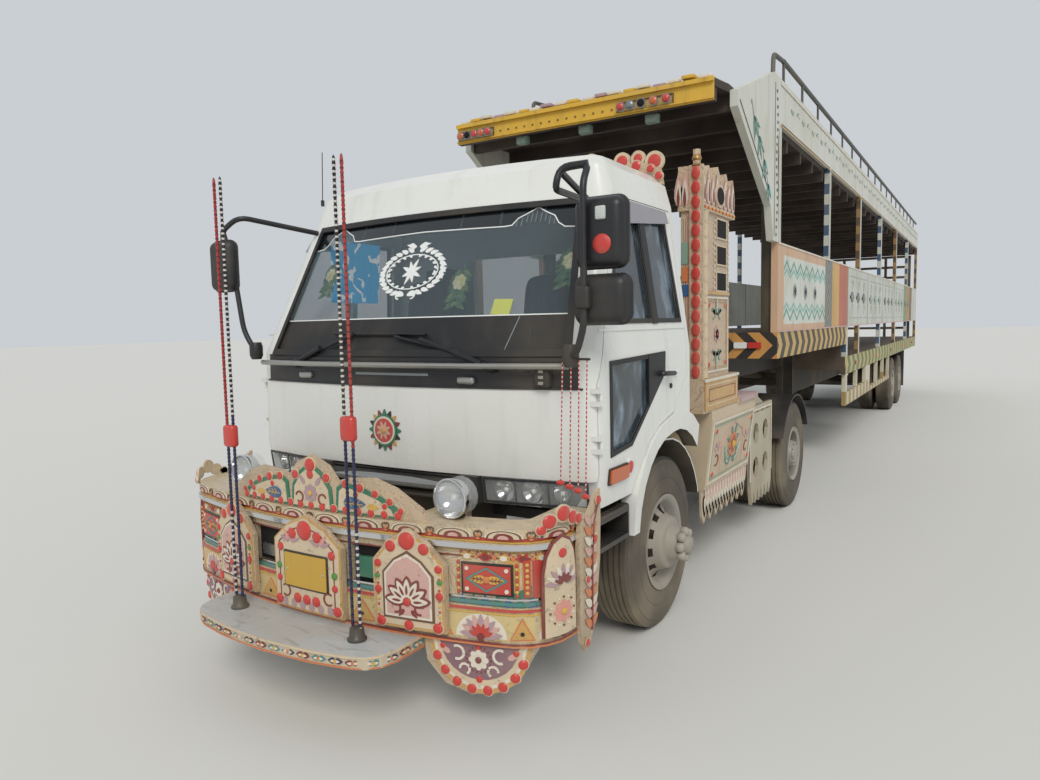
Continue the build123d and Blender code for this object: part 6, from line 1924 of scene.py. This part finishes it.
for number, x in enumerate(spread(-1.08, 1.08, 19)):
    board = rounded_box((0.098, 0.300, 0.026), 0.005, 2)
    lift = 0.004 * (number % 3)
    merge(planks, board, (x, at(2.470 - 0.012 * (number * 7 % 5)), 3.684 + lift),
          finish=(0, 1, 0, 2)[number % 4])
place("lip_planks", planks, "trailer", [ivory, lip_yellow, mauve], "deck_paint")

# %% Front return of the railing, and the dark corner posts of the lower deck
returns = bmesh.new()
for side in SIDES.values():
    forward = [(side * 1.22, at(s), z) for s, z in ((4.110, 4.250), (3.740, 4.215), (3.715, 4.000))]
    merge(returns, bar(forward, 0.020, bend=0.05))
place("railing_returns", returns, "trailer", rail_paint, "rail_paint")
corner_posts = bmesh.new()
for side in SIDES.values():
    upright = rounded_box((0.100, 0.060, 1.760), 0.008)
    merge(corner_posts, upright, (side * 1.140, at(3.905), 2.665))
# The corner posts' dark brown is partly their own paint and partly painted shade on their front faces.
corner_brown_and_shade = worn("corner_post", "#4B4436", 0.6, dust=0.3, streaks=0.4, rough=0.5)
place("corner_posts", corner_posts, "trailer", corner_brown_and_shade, "side_paint")

# %% Wing boards
dark_dot = enamel("dark_dot", "#3A4650", wear=0.2)
sea_green = enamel("sea_green", "#4C9189", wear=0.3)
for name, side in SIDES.items():
    wing = Relief(side_face(side * TRAILER_SIDE_X), grain=0.4)
    for s, z, length, lean in ((3.00, 3.52, 0.20, -38), (3.16, 3.40, 0.20, -55), (3.32, 3.24, 0.18, -60),
                               (3.46, 3.06, 0.16, -68)):
        for turn in (-46, -12, 22):
            wing.petal((s, z), length, 0.040, lean + turn, sea_green, 0.003, 0.8)
        wing.stroke([(s - 0.06, z + 0.09), (s + 0.05, z - 0.14)], 0.008, sea_green, 0.003)
        wing.disc((s - 0.07, z + 0.10), 0.018, faded_pink, 0.005, sides=12)
    for z in spread(2.66, 3.90, 20):
        wing.disc((3.772 + 0.02 * math.sin(z * 9), z), 0.021, dark_dot, 0.003, squash=0.7, sides=10)
    wing.stroke([(2.600, 3.560), (3.560, 2.960)], 0.010, ochre, 0.003)
    wing.stroke([(3.690, 2.640), (3.700, 3.960)], 0.010, faded_green, 0.003)
    wing.done(f"wing_painting_{name}", "side_paint", "trailer")
    beam = Relief(side_face(side * TRAILER_SIDE_X), grain=0.5)
    for number, s in enumerate(spread(4.30, 18.60, 60)):
        beam.petal((s, 3.860), 0.110, 0.034, 20 if number % 2 else -20, faded_green, 0.002, 0.8)
        beam.disc((s + 0.12, 3.860), 0.012, faded_pink, 0.003, sides=8)
    beam.block((3.90, 3.985), (18.90, 4.005), ivory, 0.008)
    beam.block((3.90, 3.625), (18.90, 3.640), ochre, 0.005)
    beam.done(f"top_beam_painting_{name}", "side_paint", "trailer")
    belt = Relief(side_face(side * BELT_X), grain=0.5)
    belt.block((3.845, 2.586), (18.935, 2.602), ivory, 0.006)
    belt.block((3.845, 1.790), (18.935, 1.804), faded_pink, 0.006)
    for number in range(5):
        start = 7.85 + number * PANEL_LENGTH
        for z in (1.90, 2.48):
            belt.stroke([(start + 0.12, z), (start + 1.80, z)], 0.008, faded_green, 0.002)
        for s in spread(start + 0.38, start + 1.50, 3):
            leaf(belt, (s - 0.16, 2.19), 0.30, 0, faded_green if number % 2 else dark_dot, ivory, 0.50, 0.003)
            belt.disc((s - 0.20, 2.19), 0.026, faded_pink, 0.004, sides=12)
            for turn in (1, -1):
                tint = vinyl_grey if number % 2 else faded_green
                belt.scroll((s, 2.19 + turn * 0.165), 0.070, 100, 160, 1, 0.012, tint, 0.002)
    for s in (4.55, 5.05, 5.55):
        flower(belt, (s, 2.18), 0.075, vinyl_grey, dark_dot, 6, 0.003)
    belt.done(f"belt_ornament_{name}", "side_paint", "trailer")

# %% Front beam lamp, side lamps and tail lamps
signals = Relief(front_face(BEAM_FACE), grain=0.3)
for side in (1, -1):
    signals.block((side * 0.86, 1.645), (side * 0.98, 1.700), vinyl_white, 0.022, 0.008)
    signals.block((side * 0.99, 1.645), (side * 1.11, 1.700), lens_red, 0.022, 0.008)
signals.done("front_beam_lamps", "lamp_lens", "trailer")
for name, side in SIDES.items():
    markers = Relief(side_face(side * TRAILER_SIDE_X), grain=0.3)
    for s in (8.60, 10.90, 13.20, 15.50, 17.80):
        markers.block((s, 1.235), (s + 0.09, 1.285), amber, 0.016, soft=0.008)
    markers.done(f"side_markers_{name}", "lamp_lens", "trailer")

# %% [markdown]
# ## Ends of the bumper, step and recesses
# Leaf-shaped boards close the bumper's ends. The step has a painted rim and a worn top, and the two slots in
# the nose show only darkness, with a small green box in one of them.

# %% End boards, step rim, dark slots
BUMPER_END_X = 1.2963
for name, side in SIDES.items():
    board = Relief(side_face(side * BUMPER_END_X), grain=0.3)
    spine = [(-0.06, 0.440), (-0.055, 0.600), (-0.050, 0.780), (-0.035, 0.960), (0.015, 1.050)]
    board.stroke(spine, 0.012, maroon, 0.008)
    for number, z in enumerate(spread(0.460, 0.960, 11)):
        for turn in (1, -1):
            board.petal((-0.055, z), 0.085 if turn < 0 else 0.078, 0.036, 90 - turn * 55,
                        (orange, faded_pink, ivory)[number % 3], 0.006, 0.8)
    for s, z, radius in ((0.020, 1.060, 0.022), (-0.110, 0.395, 0.018), (-0.020, 0.880, 0.018),
                         (-0.100, 0.700, 0.016)):
        board.reflector((s, z), radius)
    board.done(f"end_board_painting_{name}")

rim_line = [(-0.650, -0.520), (-0.650, -0.740), (-0.615, -0.835), (-0.520, -0.888), (-0.300, -0.930),
            (0.0, -0.950), (0.300, -0.930), (0.520, -0.888), (0.615, -0.835), (0.650, -0.740),
            (0.650, -0.520)]
rim_runs = [0.0]
for start, end in zip(rim_line, rim_line[1:]):
    rim_runs.append(rim_runs[-1] + math.dist(start, end))


def on_step_rim(along, height, out):
    """The upright edge of the step, measured along its outline from one end."""
    along = min(max(along, 0.0), rim_runs[-1])
    for number, (start, end) in enumerate(zip(rim_line, rim_line[1:])):
        if along <= rim_runs[number + 1] + 1e-9:
            break
    share = (along - rim_runs[number]) / (rim_runs[number + 1] - rim_runs[number])
    x, station = (a + (b - a) * share for a, b in zip(start, end))
    run_x, run_s = (b - a for a, b in zip(start, end))
    length = math.hypot(run_x, run_s)
    return Vector((x + run_s / length * out, at(station - run_x / length * out), height))


step_rim = Relief(on_step_rim, grain=0.05)
step_rim.block((0.002, 0.4505), (rim_runs[-1] - 0.002, 0.4590), cream, 0.009)
step_rim.block((0.002, 0.4015), (rim_runs[-1] - 0.002, 0.4075), orange, 0.007)
for number, along in enumerate(spread(0.06, rim_runs[-1] - 0.06, 21)):
    for turn in (0, 180):
        step_rim.petal((along, 0.4290), 0.040, 0.026, turn, (navy, maroon, teal)[number % 3], 0.004, 0.8)
        step_rim.petal((along, 0.4290), 0.026, 0.012, turn, ivory, 0.007, 0.8)
    step_rim.disc((along, 0.4290), 0.008, (orange, yellow)[number % 2], 0.009, sides=10)
step_rim.done("step_rim_painting", "step_metal")

slots = Relief(lifted(-0.030), grain=0.1)
for side in (1, -1):
    slots.block((side * 0.245, 0.660), (side * 0.480, 0.870), shadow, 0.004)
slots.block((0.285, 0.695), (0.400, 0.800), green, 0.020, soft=0.006)
slots.block((-0.440, 0.700), (-0.320, 0.760), lamp_back, 0.016, soft=0.006)
slots.done("dark_slots", "painted_bumper")

# %% [markdown]
# ## A plain rosette on the nose
# A small round ornament sits in the middle of the white panel. It has a ring of coloured rays and no letters.

# %% Rosette
ROSETTE = (-0.038, 1.324)
rosette = Relief(on_cab_front, grain=0.05)
for number, turn in enumerate(ring(16)):
    rosette.petal(ROSETTE, 0.122, 0.042, turn, (green, maroon, ochre, black)[number % 4], 0.004, 0.5)
for radius, finish, height in ((0.092, green, 0.008), (0.080, ivory, 0.010), (0.068, red, 0.012)):
    rosette.disc(ROSETTE, radius, finish, height, sides=32)
for turn in ring(8, 22.5):
    rosette.petal(ROSETTE, 0.056, 0.020, turn, faded_pink, 0.014, 0.6)
rosette.disc(ROSETTE, 0.022, ochre, 0.016, sides=20, dome=0.006)
rosette.done("blank_rosette", "cab_paint")

# %% [markdown]
# ## The floor
# A wide pale floor takes the soft shadow. It is stage, not part of the vehicle.

# %% Lay the floor
floor_finish = Finish("floor", "#D9D8D3", 0.9)
floor_mesh = bmesh.new()
bmesh.ops.create_grid(floor_mesh, x_segments=1, y_segments=1, size=120)
floor_data = bpy.data.meshes.new("floor")
floor_mesh.to_mesh(floor_data)
floor_mesh.free()
floor = bpy.data.objects.new("floor", floor_data)
floor_data.materials.append(floor_finish.material)
scene.collection.objects.link(floor)
floor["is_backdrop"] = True

# %% Measure and finish
low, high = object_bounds()
{"cad": [list(cad_low), list(cad_high)], "visual": [list(low), list(high)]}
